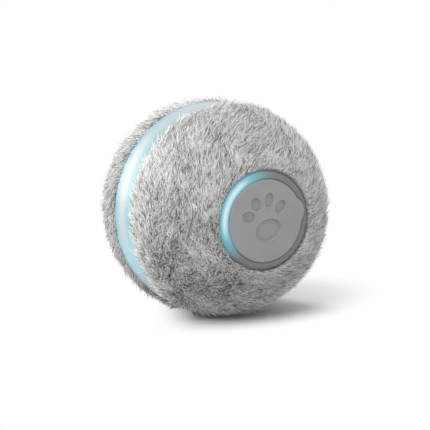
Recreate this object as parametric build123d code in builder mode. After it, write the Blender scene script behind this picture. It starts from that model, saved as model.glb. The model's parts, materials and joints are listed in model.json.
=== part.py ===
from build123d import *

import math
import os

# A self rolling ball for cats, taken apart into the pieces that it is built from.
#
# Two hard half shells, each in a plush cover, are joined by a light band. Between them hangs a core
# on two bearings. The core holds the battery, a counterweight and a motor, and its motor turns the
# shells through a train of gears, so that the ball rolls. A soft plug closes each end of the axle.
#
# Frame: millimetres. The origin is the middle of the ball, the axle lies along Y, the charging end
# faces -Y and +Z is up. "Out" is the distance from the middle along the axle, towards either end.

os.makedirs("parts", exist_ok=True)

# The whole ball
ball_diameter = 43.0  # over the tips of the plush
loose_tips = 0.7  # how far they stand above the closed pile
half_shift = 1.55  # from the middle to the centre of each half's own sphere
band_width = 6.5  # between the two covers
pile_depth = 0.9  # of the closed pile
backing_thickness = 0.4
cover_gap = 0.05  # between the cover's backing and the shell
cover_edge_round = 0.7

# The hard half shells
shell_wall = 1.3
rim_out = 3.5  # where a shell's rim starts
rabbet_depth = 1.5
rabbet_wall = 0.8
hub_seat_drop = 2.8  # inside the shell's pole
hub_seat_gap = 0.15  # round the glow ring
hub_radius = 9.0
hub_depth = 6.7
plug_bore_radius = 7.05
plug_bore_depth = 1.7
bearing_seat_radius = 7.85

# The light band between the shells
band_crown_drop = 0.25  # below the top of the closed pile
band_chamfer_width = 0.7
band_chamfer_drop = 0.28
band_crown_rise = 0.2
band_tongue_wall = 0.65
band_tongue_gap = 0.1
snap_bead_radius = 0.2
snap_groove_radius = 0.25
gasket_thickness = 0.3
gasket_side_gap = 0.05
gasket_recess = 0.15  # below the shell's face

# The glow ring round each end
ring_side_height = 0.65
ring_height = 1.45
ring_mouth_step = 1.03  # wider than the plug's bore
ring_face_width = 1.47
ring_lip = 0.05
ring_bulge_share = 0.12
ring_seat_gap = 0.05
ring_spigot_depth = 1.15
ring_spigot_wall = 0.8

# The soft plug in each end
plug_proud = 0.1  # of the glow ring
plug_disc_gap = 0.08
plug_disc_thickness = 1.25
plug_edge_round = 0.25
plug_stem_gap = 0.1
plug_stem_depth = 2.25
plug_skirt_wall = 1.25
plug_bead_radius = 0.2
plug_turn = 12.5  # degrees, how far the ball had rolled when it stopped
tab_past = 0.77  # how far the tab reaches past the disc
tab_thickness = 0.6
tab_round = 2.8
tab_blend_round = 3.0
paw_depth = 0.35
paw_pad_width = 5.6
paw_pad_height = 4.2
paw_pad_drop = 1.75
paw_toe_width = 2.0
paw_toe_height = 2.8
paw_toe_ring = 4.0
paw_toe_angles = (-62, -21, 21, 62)  # degrees from the paw's own up

# The bearings
running_gap = 0.07
front_bearing_length = 3.2
front_bearing_wall = 1.08
bearing_seat_gap = 0.05
front_bearing_back_gap = 0.2
washer_thickness = 0.6
washer_gap = 0.05
washer_width = 1.85
axle_radius = 1.25
axle_running_gap = 0.06
back_bearing_wall = 0.88
back_bearing_flange_radius = 3.0
back_bearing_flange = 0.4

# The hollow core that swings inside
core_gap = 1.1  # between the core and the shells
core_wall = 0.9
core_front_gap = 0.7  # to the end of the front hub
gear_space = 7.9  # from the core to the floor of the back well
journal_radius = 6.65
journal_wall = 0.7
journal_setback = 2.6  # of its end, inside the glow ring's seat
journal_end_wall = 0.8

# The back shell's hub, where the axle runs
well_depth = 2.9
well_floor_wall = 1.2
boss_flange_radius = 7.0
spigot_radius = 3.2
spigot_length = 1.6

# The axle pin and what holds it
axle_inside = 4.8  # in the core
axle_past = 0.9  # beyond the floor of the well
axle_boss_wall = 1.3
axle_seat_gap = 0.02
clip_radius = 2.4
clip_thickness = 0.35
clip_washer_thickness = 0.2
clip_gap = 0.05
clip_mouth_share = 0.55
clip_groove_depth = 0.25

# The gears
pressure_angle = 20.0
fine_module = 0.3
coarse_module = 0.4
pinion_teeth = 10
wheel_teeth = 30
first_small_teeth = 10
second_small_teeth = 12
drive_teeth = 40
tooth_shift = 0.35  # in modules, fattens small gears and thins large ones
tooth_backlash_share = 0.14  # of the module
addendum_share = 0.9
dedendum_share = 1.25
gear_pin_radius = 0.5
gear_running_gap = 0.06
wheel_thickness = 0.9
layer_gap = 0.15
gear_start_gap = 0.5
small_gear_extra = 0.2
drive_gear_thickness = 1.5
pin_head_radius = 0.9
pin_head_thickness = 0.17
pin_head_gap = 0.04
pin_boss_radius = 1.0
first_gear_angle = -80.6  # degrees round the axle, from +X towards +Z
first_gear_offset = 8.57
drive_screw_count = 3
drive_screw_ring = 5.2
drive_screw_radius = 0.6
drive_screw_head_radius = 1.1
drive_screw_head = 0.35
drive_screw_length = 2.6
screw_hole_gap = 0.05

# The motor
motor_radius = 3.0
motor_length = 12.6
motor_cap_length = 0.9
motor_nose_radius = 1.0
motor_nose_length = 0.7
motor_shaft_radius = 0.4
motor_shaft_inside = 1.2
motor_drop = 3.57
motor_fit_gap = 0.05
motor_edge_round = 0.3
cradle_wall = 0.8
cradle_length = 5.2
cradle_top_drop = 1.3
nose_hole_gap = 0.1

# The battery and the counterweight
cell_width = 12.0
cell_end_room = 4.2  # what the cell leaves of the length of the core
cell_thickness = 4.0
cell_top_drop = 7.5
balance_shift = 1.8  # to the left of the axle, against the motor on its right
cell_back_gap = 0.2
cell_edge_round = 0.8
pad_thickness = 0.4
weight_gap = 0.05
weight_half_length = 6.4
rib_wall = 0.8
rib_height = 2.6
rib_gap = 0.15

# The circuit board
board_thickness = 0.8
board_side_gap = 1.6
board_back_out = 1.8
board_front_gap = 0.3
board_corner_round = 1.0
tongue_width = 9.2
tongue_end_gap = 0.2
post_radius = 1.1
post_edge = 1.2  # from the edge of the board, and from its back end
post_front_setback = 3.2  # from the front of the core
peg_radius = 0.55
peg_gap = 0.05
peg_height = 1.3

# The screws that close the core
boss_radius = 1.9
boss_side = 12.9
boss_front_out = 5.0
boss_back_out = 3.8
core_screw_radius = 0.75
core_screw_head_radius = 1.4
core_screw_head = 0.8
core_screw_length = 5.4
core_screw_floor = 2.0
thread_gap = 0.02
core_screw_head_gap = 0.1
core_column_wall = 0.7

# The charging port
port_width = 8.94
port_height = 3.26
port_length = 7.0
port_wall = 0.3
port_setback = 0.2
port_hole_gap = 0.13
port_tongue_width = 6.7
port_tongue_height = 0.7
port_tongue_length = 4.5

# The power switch and its button
button_drop = 3.0
button_radius = 1.3
button_gap = 0.1
button_proud = 0.4
button_flange_radius = 1.8
button_flange = 0.5
button_flange_gap = 0.1
button_stem_radius = 1.0
switch_width = 4.4
switch_depth = 3.2
switch_height = 4.2
switch_setback = 3.0  # from the end of the journal
plunger_radius = 0.7
plunger_gap = 0.1
plunger_proud = 0.6
plunger_inside = 0.6
plunger_bore_depth = 1.1

# What is soldered to the board
led_width = 2.8
led_height = 1.4
led_place_shares = ((-0.84, -0.26), (-0.84, 0.33), (0.84, -0.26), (0.84, 0.33), (-0.3, 0.7), (0.3, 0.7))
chip_size = 5.0
chip_height = 0.9
charger_length = 2.9
charger_width = 1.6
charger_height = 1.1
sensor_size = 3.0
chip_place_shares = ((-0.32, -0.3), (0.32, -0.42), (0.32, 0.13))
lead_radius = 0.3
lead_pitch = 1.0
lead_run = 1.15
lead_bend = 0.9
cell_lead_side = 3.5
cut_over = 0.5  # how far a cut runs past the face that it opens

# What follows from those sizes
ball_radius = ball_diameter / 2
band_half = band_width / 2
pile_radius = ball_radius - loose_tips
backing_radius = pile_radius - pile_depth - backing_thickness
shell_radius = backing_radius - cover_gap
shell_inner_radius = shell_radius - shell_wall
core_radius = shell_inner_radius - core_gap
hub_seat_out = half_shift + shell_radius - hub_seat_drop
ring_mouth_radius = plug_bore_radius + ring_mouth_step
ring_radius = ring_mouth_radius + ring_face_width
hub_seat_radius = ring_radius + hub_seat_gap
hub_end_out = hub_seat_out - hub_depth
well_floor_out = hub_seat_out - well_depth
core_front_out = hub_end_out - core_front_gap
core_back_out = well_floor_out - gear_space
cell_length = core_front_out + core_back_out - cell_end_room
journal_end_out = hub_seat_out - journal_setback
axle_start_out = core_back_out - axle_inside
axle_end_out = well_floor_out + axle_past
band_crown_radius = pile_radius - band_crown_drop
ring_foot_out = hub_seat_out + ring_seat_gap
ring_top_out = ring_foot_out + ring_height
plug_face_out = ring_top_out + plug_proud
core_front_half = math.sqrt((core_radius - core_wall) ** 2 - core_front_out**2)
board_width = 2 * (core_front_half - board_side_gap)
post_side = board_width / 2 - post_edge
post_front_out = core_front_out - post_front_setback
post_back_out = board_back_out - post_edge
switch_front_out = journal_end_out - switch_setback
board_under = -board_thickness / 2
bore_floor_out = hub_seat_out - ring_spigot_depth - ring_seat_gap
bearing_shoulder_out = bore_floor_out - plug_bore_depth
motor_out = core_back_out - core_wall
layer_a = core_back_out + gear_start_gap
layer_b = layer_a + wheel_thickness + layer_gap
first_gear_top = layer_b + wheel_thickness + small_gear_extra / 2
layer_c = layer_b + wheel_thickness + small_gear_extra + layer_gap + pin_head_thickness
drive_gear_back = layer_c + drive_gear_thickness
second_gear_top = drive_gear_back + layer_gap
boss_face_out = drive_gear_back + ring_seat_gap


def pitch_radius(teeth, module):
    """Pitch radius of a spur gear."""
    return teeth * module / 2


def around_axle(offset, angle):
    """(x, z) of a place at this distance and angle round the axle."""
    turn = math.radians(angle)
    return (offset * math.cos(turn), offset * math.sin(turn))


def across(out):
    """A plane square to the axle at Y = out, with its own x along X and its own y along Z."""
    return Plane.XZ.offset(-out)


def write_piece(piece, name):
    """Labels one finished piece and writes it as its own file."""
    piece.label = name
    export_step(piece, f"parts/{name}.step")


def section_block(side, inner, outer, low, high, mode=Mode.ADD):
    """A block of a half section: from radius inner to outer, and from low to high along the axle."""
    with Locations(((inner + outer) / 2, side * (low + high) / 2)):
        Rectangle(outer - inner, high - low, mode=mode)


# The plush covers: a thick curved sheet over each half shell, rounded where the pile meets the band
# and the glow ring.


def fur_cover(side):
    """The cover of one half. side is -1 for the front and 1 for the back."""
    with BuildPart() as cover:
        with BuildSketch(Plane.XY) as section:
            with Locations((0, side * half_shift)):
                Circle(pile_radius)
                Circle(backing_radius, mode=Mode.SUBTRACT)
            section_block(
                side, hub_seat_radius, ball_radius, band_half, ball_diameter, Mode.INTERSECT
            )
            centre = Vector(0, side * half_shift)
            corners = section.vertices().sort_by(lambda v: (v.center() - centre).length)
            fillet(corners[-2:], cover_edge_round)
        revolve(axis=Axis.Y)
    return cover.part


front_fur_cover = fur_cover(-1)
write_piece(front_fur_cover, "front_fur_cover")
back_fur_cover = fur_cover(1)
write_piece(back_fur_cover, "back_fur_cover")


# The half shells. Both have the same outer form, the same rim and the same seat for the glow ring and
# the plug.


def shell_outline(side, hub_inner_out):
    """The half section that both shells share. The hub reaches in as far as hub_inner_out."""
    with Locations((0, side * half_shift)):
        Circle(shell_radius)
        Circle(shell_inner_radius, mode=Mode.SUBTRACT)
    section_block(side, 0, hub_radius, hub_inner_out, hub_seat_out)
    section_block(side, 0, shell_radius, rim_out, hub_seat_out + shell_wall, Mode.INTERSECT)
    section_block(side, 0, hub_seat_radius, hub_seat_out, ball_diameter, Mode.SUBTRACT)
    spigot_bore = ring_mouth_radius + ring_spigot_wall / 2 + ring_seat_gap
    section_block(side, 0, spigot_bore, bore_floor_out, ball_diameter, Mode.SUBTRACT)
    rabbet_radius = shell_radius - rabbet_wall
    section_block(side, 0, rabbet_radius, rim_out, rim_out + rabbet_depth, Mode.SUBTRACT)
    with Locations((rabbet_radius, side * (rim_out + rabbet_depth / 2))):
        Circle(snap_groove_radius, mode=Mode.SUBTRACT)


with BuildPart() as front_shell:
    with BuildSketch(Plane.XY):
        shell_outline(-1, hub_end_out)
        section_block(-1, 0, plug_bore_radius, 0, ball_diameter, Mode.SUBTRACT)
        section_block(-1, 0, bearing_seat_radius, 0, bearing_shoulder_out, Mode.SUBTRACT)
    revolve(axis=Axis.Y)
write_piece(front_shell.part, "front_shell")

back_bearing_radius = axle_radius + axle_running_gap + back_bearing_wall
spigot_start_out = boss_face_out - spigot_length
with BuildPart() as back_shell:
    with BuildSketch(Plane.XY):
        floor_inner_out = well_floor_out - well_floor_wall
        shell_outline(1, floor_inner_out)
        section_block(1, 0, plug_bore_radius, well_floor_out, ball_diameter, Mode.SUBTRACT)
        section_block(1, 0, boss_flange_radius, boss_face_out, floor_inner_out)
        section_block(1, 0, spigot_radius, spigot_start_out, boss_face_out)
        bore = back_bearing_radius + bearing_seat_gap
        section_block(1, 0, bore, 0, well_floor_out, Mode.SUBTRACT)
    revolve(axis=Axis.Y)
    with BuildSketch(across(boss_face_out)):
        with PolarLocations(drive_screw_ring, drive_screw_count):
            Circle(drive_screw_radius + screw_hole_gap)
    extrude(amount=-(drive_screw_length - drive_gear_thickness), mode=Mode.SUBTRACT)
write_piece(back_shell.part, "back_shell")


# The light band: one clear ring with a gently crowned face and a chamfer to each cover. Its tongues
# snap into the shells, and a gasket seals each rim.

tongue_radius = shell_radius - rabbet_wall - band_tongue_gap
band_inner_radius = tongue_radius - band_tongue_wall
with BuildPart() as light_band:
    with BuildSketch(Plane.XY):
        band_edge = band_half - gasket_side_gap
        crown_edge = band_crown_radius - band_crown_rise
        crown_half = band_edge - band_chamfer_width
        foot = crown_edge - band_chamfer_drop
        with BuildLine():
            Line((band_inner_radius, -band_edge), (foot, -band_edge))
            Line((foot, -band_edge), (crown_edge, -crown_half))
            ThreePointArc((crown_edge, -crown_half), (band_crown_radius, 0), (crown_edge, crown_half))
            Line((crown_edge, crown_half), (foot, band_edge))
            Line((foot, band_edge), (band_inner_radius, band_edge))
            Line((band_inner_radius, band_edge), (band_inner_radius, -band_edge))
        make_face()
        tongue_end = rim_out + rabbet_depth - band_tongue_gap
        section_block(1, band_inner_radius, tongue_radius, -tongue_end, tongue_end)
        with Locations(
            (tongue_radius, rim_out + rabbet_depth / 2), (tongue_radius, -rim_out - rabbet_depth / 2)
        ):
            Circle(snap_bead_radius)
    revolve(axis=Axis.Y)
write_piece(light_band.part, "light_band")


def rim_gasket(side):
    """The flat seal between the light band and one shell's rim."""
    with BuildPart() as gasket:
        with BuildSketch(Plane.XY):
            inner = tongue_radius + gasket_side_gap
            outer = shell_radius - gasket_recess
            low = rim_out - gasket_thickness
            section_block(side, inner, outer, low, rim_out)
        revolve(axis=Axis.Y)
    return gasket.part


write_piece(rim_gasket(-1), "front_rim_gasket")
write_piece(rim_gasket(1), "back_rim_gasket")


# The plugs: soft discs with a skirt that grips the hub, a pull tab, and a sunk paw mark. Each lies in
# a glow ring, a clear ring with a rounded bevel that is pressed into the shell's hub and notched under
# the tab.

disc_radius = ring_mouth_radius - plug_disc_gap
tab_reach = disc_radius + tab_past
disc_under = plug_face_out - plug_disc_thickness
stem_radius = plug_bore_radius - plug_stem_gap


def tab_outline(grow):
    """The disc and its tab, seen along the axle and grown by grow, with the tab along X.

    Three arcs make it: the disc's, the tab's, and on each side a hollow one that touches both.
    """
    disc = disc_radius + grow
    tab = tab_round + grow
    blend = tab_blend_round - grow
    tab_centre = Vector(tab_reach - tab_round, 0)
    reach = disc + blend
    lean = (reach**2 + tab_centre.X**2 - (tab + blend) ** 2) / (2 * reach * tab_centre.X)
    blend_centre = Vector(reach, 0).rotate(Axis.Z, math.degrees(math.acos(lean)))
    on_disc = blend_centre * (disc / reach)
    on_tab = tab_centre + (blend_centre - tab_centre) * (tab / (tab + blend))
    inward = (on_disc + on_tab - blend_centre * 2).normalized()
    on_blend = blend_centre + inward * blend
    with BuildSketch(mode=Mode.PRIVATE) as outline:
        with BuildLine():
            ThreePointArc(on_tab, (tab_reach + grow, 0), (on_tab.X, -on_tab.Y))
            ThreePointArc(on_disc, (-disc, 0), (on_disc.X, -on_disc.Y))
            ThreePointArc(on_disc, on_blend, on_tab)
            ThreePointArc(
                (on_disc.X, -on_disc.Y), (on_blend.X, -on_blend.Y), (on_tab.X, -on_tab.Y)
            )
        make_face()
    return outline.sketch


with BuildPart() as front_plug:
    with BuildSketch(Plane.XY):
        section_block(-1, 0, disc_radius, disc_under, plug_face_out)
        section_block(-1, 0, stem_radius, disc_under - plug_stem_depth, disc_under)
        skirt_inner = stem_radius - plug_skirt_wall
        section_block(-1, 0, skirt_inner, disc_under - plug_stem_depth, disc_under, Mode.SUBTRACT)
        with Locations((stem_radius, -(bore_floor_out + ring_spigot_wall / 2))):
            Circle(plug_bead_radius)
    revolve(axis=Axis.Y)
    with BuildSketch(across(-plug_face_out)):
        add(tab_outline(0), rotation=plug_turn)
    extrude(amount=-tab_thickness)
    fillet(front_plug.faces().sort_by(Axis.Y)[0].outer_wire().edges(), plug_edge_round)
    with BuildSketch(mode=Mode.PRIVATE) as upright_paw:
        with Locations((0, -paw_pad_drop)):
            Ellipse(paw_pad_width / 2, paw_pad_height / 2)
        for angle in paw_toe_angles:
            with PolarLocations(paw_toe_ring, 1, start_angle=90 + angle):
                Ellipse(paw_toe_height / 2, paw_toe_width / 2)
    with BuildSketch(across(-plug_face_out)):
        add(upright_paw.sketch, rotation=plug_turn)
    extrude(amount=-paw_depth, mode=Mode.SUBTRACT)
write_piece(front_plug.part, "front_plug")

with BuildPart() as back_plug:
    add(front_plug.part, rotation=(0, 0, 180))
write_piece(back_plug.part, "back_plug")

with BuildPart() as front_glow_ring:
    with BuildSketch(Plane.XY):
        ring_side_top = ring_foot_out + ring_side_height
        ring_lip_radius = ring_mouth_radius + ring_lip
        bulge = ring_bulge_share * (ring_radius - ring_lip_radius)
        bevel_middle = (
            (ring_lip_radius + ring_radius) / 2 + bulge,
            -(ring_side_top + ring_top_out) / 2 - bulge,
        )
        with BuildLine():
            Line((ring_mouth_radius, -ring_foot_out), (ring_radius, -ring_foot_out))
            Line((ring_radius, -ring_foot_out), (ring_radius, -ring_side_top))
            ThreePointArc(
                (ring_radius, -ring_side_top), bevel_middle, (ring_lip_radius, -ring_top_out)
            )
            Line((ring_lip_radius, -ring_top_out), (ring_mouth_radius, -ring_top_out))
            Line((ring_mouth_radius, -ring_top_out), (ring_mouth_radius, -ring_foot_out))
        make_face()
        spigot_outer = ring_mouth_radius + ring_spigot_wall / 2
        spigot_inner = spigot_outer - ring_spigot_wall
        section_block(
            -1, spigot_inner, spigot_outer, ring_foot_out - ring_spigot_depth, ring_foot_out
        )
        section_block(
            -1, spigot_inner, ring_mouth_radius, ring_foot_out, disc_under - plug_disc_gap
        )
    revolve(axis=Axis.Y)
    with BuildSketch(across(-(plug_face_out - tab_thickness - plug_disc_gap))):
        add(tab_outline(plug_disc_gap), rotation=plug_turn)
    extrude(amount=tab_thickness + cut_over, mode=Mode.SUBTRACT)
write_piece(front_glow_ring.part, "front_glow_ring")

with BuildPart() as back_glow_ring:
    add(front_glow_ring.part, rotation=(0, 0, 180))
write_piece(back_glow_ring.part, "back_glow_ring")


# The bearings, the washer between them and the core, and the clip that keeps the axle in.


def bush(side, inner, outer, start, length, flange_radius, flange):
    """A plain bearing along the axle, with a flange at its inner end where flange isn't zero."""
    with BuildPart() as bearing:
        with BuildSketch(Plane.XY):
            section_block(side, inner, outer, start, start + length)
            if flange > 0:
                section_block(side, inner, flange_radius, start - flange, start)
        revolve(axis=Axis.Y)
    return bearing.part


front_bearing_inner = journal_radius + running_gap
front_bearing_outer = front_bearing_inner + front_bearing_wall
front_bearing_start = bearing_shoulder_out - front_bearing_back_gap - front_bearing_length
write_piece(
    bush(-1, front_bearing_inner, front_bearing_outer, front_bearing_start, front_bearing_length, 0, 0),
    "front_bearing",
)

back_bearing_length = well_floor_out - spigot_start_out
write_piece(
    bush(
        1,
        axle_radius + axle_running_gap,
        back_bearing_radius,
        spigot_start_out,
        back_bearing_length,
        back_bearing_flange_radius,
        back_bearing_flange,
    ),
    "back_bearing",
)

washer_start = core_front_out + washer_gap
washer_outer = front_bearing_inner + washer_width
write_piece(
    bush(-1, front_bearing_inner, washer_outer, washer_start, washer_thickness, 0, 0),
    "thrust_washer",
)

clip_washer_start = well_floor_out + clip_gap
write_piece(
    bush(
        1,
        axle_radius + axle_running_gap,
        clip_radius,
        clip_washer_start,
        clip_washer_thickness,
        0,
        0,
    ),
    "axle_washer",
)

clip_start = clip_washer_start + clip_washer_thickness + clip_gap
groove_radius = axle_radius - clip_groove_depth
with BuildPart() as axle_clip:
    with BuildSketch(across(clip_start)):
        Circle(clip_radius)
        Circle(groove_radius, mode=Mode.SUBTRACT)
        with Locations((0, -clip_radius)):
            Rectangle(groove_radius * 2 * clip_mouth_share, clip_radius * 2, mode=Mode.SUBTRACT)
    extrude(amount=-clip_thickness)
write_piece(axle_clip.part, "axle_clip")

with BuildPart() as axle_pin:
    with BuildSketch(Plane.XY):
        section_block(1, 0, axle_radius, axle_start_out, axle_end_out)
        groove_start = clip_start - clip_gap
        groove_end = clip_start + clip_thickness + clip_gap
        section_block(1, groove_radius, axle_radius, groove_start, groove_end, Mode.SUBTRACT)
    revolve(axis=Axis.Y)
write_piece(axle_pin.part, "axle_pin")


# The gear train. Each wheel or small gear is drawn with flanks that follow an involute. A tooth, or
# the gap between two teeth, points at the gear that it meshes with.


def gear_face(teeth, module, shift, turn):
    """A gear's outline round the axle. The middle of one tooth points at turn, in degrees."""
    pitch = pitch_radius(teeth, module)
    base = pitch * math.cos(math.radians(pressure_angle))
    tip = pitch + module * (addendum_share + shift)
    root = pitch - module * (dedendum_share - shift)
    slope = math.tan(math.radians(pressure_angle))
    thickness = module * (math.pi / 2 + 2 * shift * slope - tooth_backlash_share / 2)

    def involute(angle):
        return math.tan(angle) - angle

    def flank_point(radius):
        """Radius, and half the angle of the tooth there, in degrees."""
        angle = math.acos(min(1, base / radius))
        half = thickness / (2 * pitch) + involute(math.radians(pressure_angle)) - involute(angle)
        return (radius, math.degrees(half))

    start = max(base, root)
    flank = [flank_point(start), flank_point((start + tip) / 2), flank_point(tip)]
    step = 360 / teeth
    with BuildLine() as outline:
        for tooth in range(teeth):
            middle = turn + tooth * step
            rising = [around_axle(radius, middle - half) for radius, half in flank]
            falling = [around_axle(radius, middle + half) for radius, half in reversed(flank)]
            foot_half = flank[0][1]
            foot_start = around_axle(root, middle - foot_half)
            foot_end = around_axle(root, middle + foot_half)
            next_foot = around_axle(root, middle + step - foot_half)
            if base > root:
                Line(foot_start, rising[0])
                Line(falling[-1], foot_end)
            ThreePointArc(*rising)
            ThreePointArc(rising[-1], around_axle(tip, middle), falling[0])
            ThreePointArc(*falling)
            ThreePointArc(foot_end, around_axle(root, middle + step / 2), next_foot)
    return make_face(outline.edges(), mode=Mode.PRIVATE)


def toward(start, end):
    """The direction from one place to another round the axle, in degrees."""
    return math.degrees(math.atan2(end[1] - start[1], end[0] - start[0]))


def centre_distance(teeth_a, teeth_b, module):
    """Distance between two meshing gears."""
    return pitch_radius(teeth_a, module) + pitch_radius(teeth_b, module)


first_centre = around_axle(first_gear_offset, first_gear_angle)
first_reach = centre_distance(pinion_teeth, wheel_teeth, fine_module)
motor_side = math.sqrt(first_reach**2 - (first_centre[1] + motor_drop) ** 2)
motor_centre = (first_centre[0] + motor_side, -motor_drop)
second_reach = centre_distance(first_small_teeth, wheel_teeth, fine_module)
second_gear_offset = centre_distance(second_small_teeth, drive_teeth, coarse_module)
second_turn = math.acos(
    (first_gear_offset**2 + second_gear_offset**2 - second_reach**2)
    / (2 * first_gear_offset * second_gear_offset)
)
second_centre = around_axle(second_gear_offset, first_gear_angle - math.degrees(second_turn))
axle_centre = (0, 0)
wheel_half_step = 180 / wheel_teeth
drive_half_step = 180 / drive_teeth


def compound_gear(centre, wheel_start, wheel_turn, small_teeth, small_module, small_turn, top):
    """A wheel and a small gear in one piece, bored for its pin."""
    with BuildPart() as gear:
        with BuildSketch(across(wheel_start)):
            with Locations(centre):
                add(gear_face(wheel_teeth, fine_module, -tooth_shift, wheel_turn))
        extrude(amount=-wheel_thickness)
        with BuildSketch(across(wheel_start + wheel_thickness)):
            with Locations(centre):
                add(gear_face(small_teeth, small_module, tooth_shift, small_turn))
        extrude(amount=-(top - wheel_start - wheel_thickness))
        with BuildSketch(across(wheel_start)):
            with Locations(centre):
                Circle(gear_pin_radius + gear_running_gap)
        extrude(amount=-(top - wheel_start), mode=Mode.SUBTRACT)
    return gear.part


first_gear = compound_gear(
    first_centre,
    layer_a,
    toward(first_centre, motor_centre) + wheel_half_step,
    first_small_teeth,
    fine_module,
    toward(first_centre, second_centre),
    first_gear_top,
)
write_piece(first_gear, "first_gear")

second_gear = compound_gear(
    second_centre,
    layer_b,
    toward(second_centre, first_centre) + wheel_half_step,
    second_small_teeth,
    coarse_module,
    toward(second_centre, axle_centre),
    second_gear_top,
)
write_piece(second_gear, "second_gear")

with BuildPart() as motor_pinion:
    with BuildSketch(across(layer_a)):
        with Locations(motor_centre):
            turn = toward(motor_centre, first_centre)
            add(gear_face(pinion_teeth, fine_module, tooth_shift, turn))
            Circle(motor_shaft_radius, mode=Mode.SUBTRACT)
    extrude(amount=-wheel_thickness)
write_piece(motor_pinion.part, "motor_pinion")

with BuildPart() as drive_gear:
    with BuildSketch(across(layer_c)):
        turn = toward(axle_centre, second_centre)
        add(gear_face(drive_teeth, coarse_module, -tooth_shift, turn + drive_half_step))
        Circle(spigot_radius + screw_hole_gap, mode=Mode.SUBTRACT)
        with PolarLocations(drive_screw_ring, drive_screw_count):
            Circle(drive_screw_radius + screw_hole_gap, mode=Mode.SUBTRACT)
    extrude(amount=-drive_gear_thickness)
write_piece(drive_gear.part, "drive_gear")

with BuildPart() as drive_gear_screws:
    with BuildSketch(across(layer_c)):
        with PolarLocations(drive_screw_ring, drive_screw_count):
            Circle(drive_screw_head_radius)
    extrude(amount=drive_screw_head)
    with BuildSketch(across(layer_c)):
        with PolarLocations(drive_screw_ring, drive_screw_count):
            Circle(drive_screw_radius)
    extrude(amount=-drive_screw_length)
write_piece(drive_gear_screws.part, "drive_gear_screws")

pin_start = core_back_out - core_wall
gear_pin_ends = (
    (first_centre, layer_a, first_gear_top),
    (second_centre, layer_b, second_gear_top),
)
with BuildPart() as gear_pins:
    for centre, gear_start, gear_top in gear_pin_ends:
        with BuildSketch(across(pin_start)):
            with Locations(centre):
                Circle(gear_pin_radius)
        extrude(amount=-(gear_top + pin_head_gap - pin_start))
        with BuildSketch(across(gear_top + pin_head_gap)):
            with Locations(centre):
                Circle(pin_head_radius)
        extrude(amount=-pin_head_thickness)
write_piece(gear_pins.part, "gear_pins")


# The motor: a can and its end cap, and the shaft that turns with the pinion.

cap_start = motor_out - motor_length
with BuildPart() as motor_can:
    with BuildSketch(across(motor_out)):
        with Locations(motor_centre):
            Circle(motor_radius)
    extrude(amount=motor_length - motor_cap_length)
    fillet(motor_can.faces().sort_by(Axis.Y)[-1].edges(), motor_edge_round)
    with BuildSketch(across(motor_out)):
        with Locations(motor_centre):
            Circle(motor_nose_radius)
    extrude(amount=-motor_nose_length)
    with BuildSketch(across(motor_out + motor_nose_length)):
        with Locations(motor_centre):
            Circle(motor_shaft_radius + gear_running_gap)
    extrude(amount=motor_nose_length + motor_shaft_inside, mode=Mode.SUBTRACT)
write_piece(motor_can.part, "motor_can")

with BuildPart() as motor_end_cap:
    with BuildSketch(across(cap_start + motor_cap_length)):
        with Locations(motor_centre):
            Circle(motor_radius)
    extrude(amount=motor_cap_length)
    fillet(motor_end_cap.faces().sort_by(Axis.Y)[0].edges(), motor_edge_round)
write_piece(motor_end_cap.part, "motor_end_cap")

with BuildPart() as motor_shaft:
    with BuildSketch(across(motor_out - motor_shaft_inside + gear_running_gap)):
        with Locations(motor_centre):
            Circle(motor_shaft_radius)
    extrude(amount=-(layer_a + wheel_thickness - motor_out + motor_shaft_inside - gear_running_gap))
write_piece(motor_shaft.part, "motor_shaft")


# The core: a hollow frame in two halves. It carries everything that hangs inside, and its front ends
# in a hollow journal with the port and the button.


def core_profile(radius, front_out, back_out):
    """The half section of the core's form, or of the hollow in it."""
    for side, out in ((-1, front_out), (1, back_out)):
        with BuildSketch(Plane.XY, mode=Mode.PRIVATE) as half:
            with Locations((0, side * half_shift)):
                Circle(radius)
            section_block(side, 0, radius, 0, out, Mode.INTERSECT)
        add(half.sketch_local)


screw_places = [
    (sign * boss_side, along) for sign in (-1, 1) for along in (-boss_front_out, boss_back_out)
]
post_places = [
    (sign * post_side, along) for sign in (-1, 1) for along in (-post_front_out, post_back_out)
]
cell_side = cell_width / 2
pocket_side = cell_side + rib_gap
pocket_front_out = weight_half_length + weight_gap
cell_under = -(cell_top_drop + cell_thickness)
weight_top = cell_under - pad_thickness
core_hollow_radius = core_radius - core_wall

with BuildPart() as core_solid:
    with BuildSketch(Plane.XY):
        core_profile(core_radius, core_front_out, core_back_out)
    revolve(axis=Axis.Y)

with BuildPart() as core_hollow:
    with BuildSketch(Plane.XY):
        core_profile(core_hollow_radius, core_front_out - core_wall, core_back_out - core_wall)
    revolve(axis=Axis.Y)

axle_boss_radius = axle_radius + axle_seat_gap + axle_boss_wall
axle_boss_end_out = spigot_start_out - back_bearing_flange - running_gap
journal_floor_out = journal_end_out - journal_end_wall
with BuildPart() as core_shape:
    add(core_solid.part)
    add(core_hollow.part, mode=Mode.SUBTRACT)
    with BuildSketch(Plane.XY):
        section_block(-1, 0, journal_radius, core_front_out - core_wall, journal_end_out)
        section_block(1, 0, axle_boss_radius, axle_start_out, axle_boss_end_out)
    revolve(axis=Axis.Y)
    with BuildSketch(Plane.XY):
        journal_bore = journal_radius - journal_wall
        section_block(-1, 0, journal_bore, core_front_out - core_wall, journal_floor_out)
        section_block(1, 0, axle_radius + axle_seat_gap, axle_start_out, axle_boss_end_out)
    revolve(axis=Axis.Y, mode=Mode.SUBTRACT)

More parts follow.
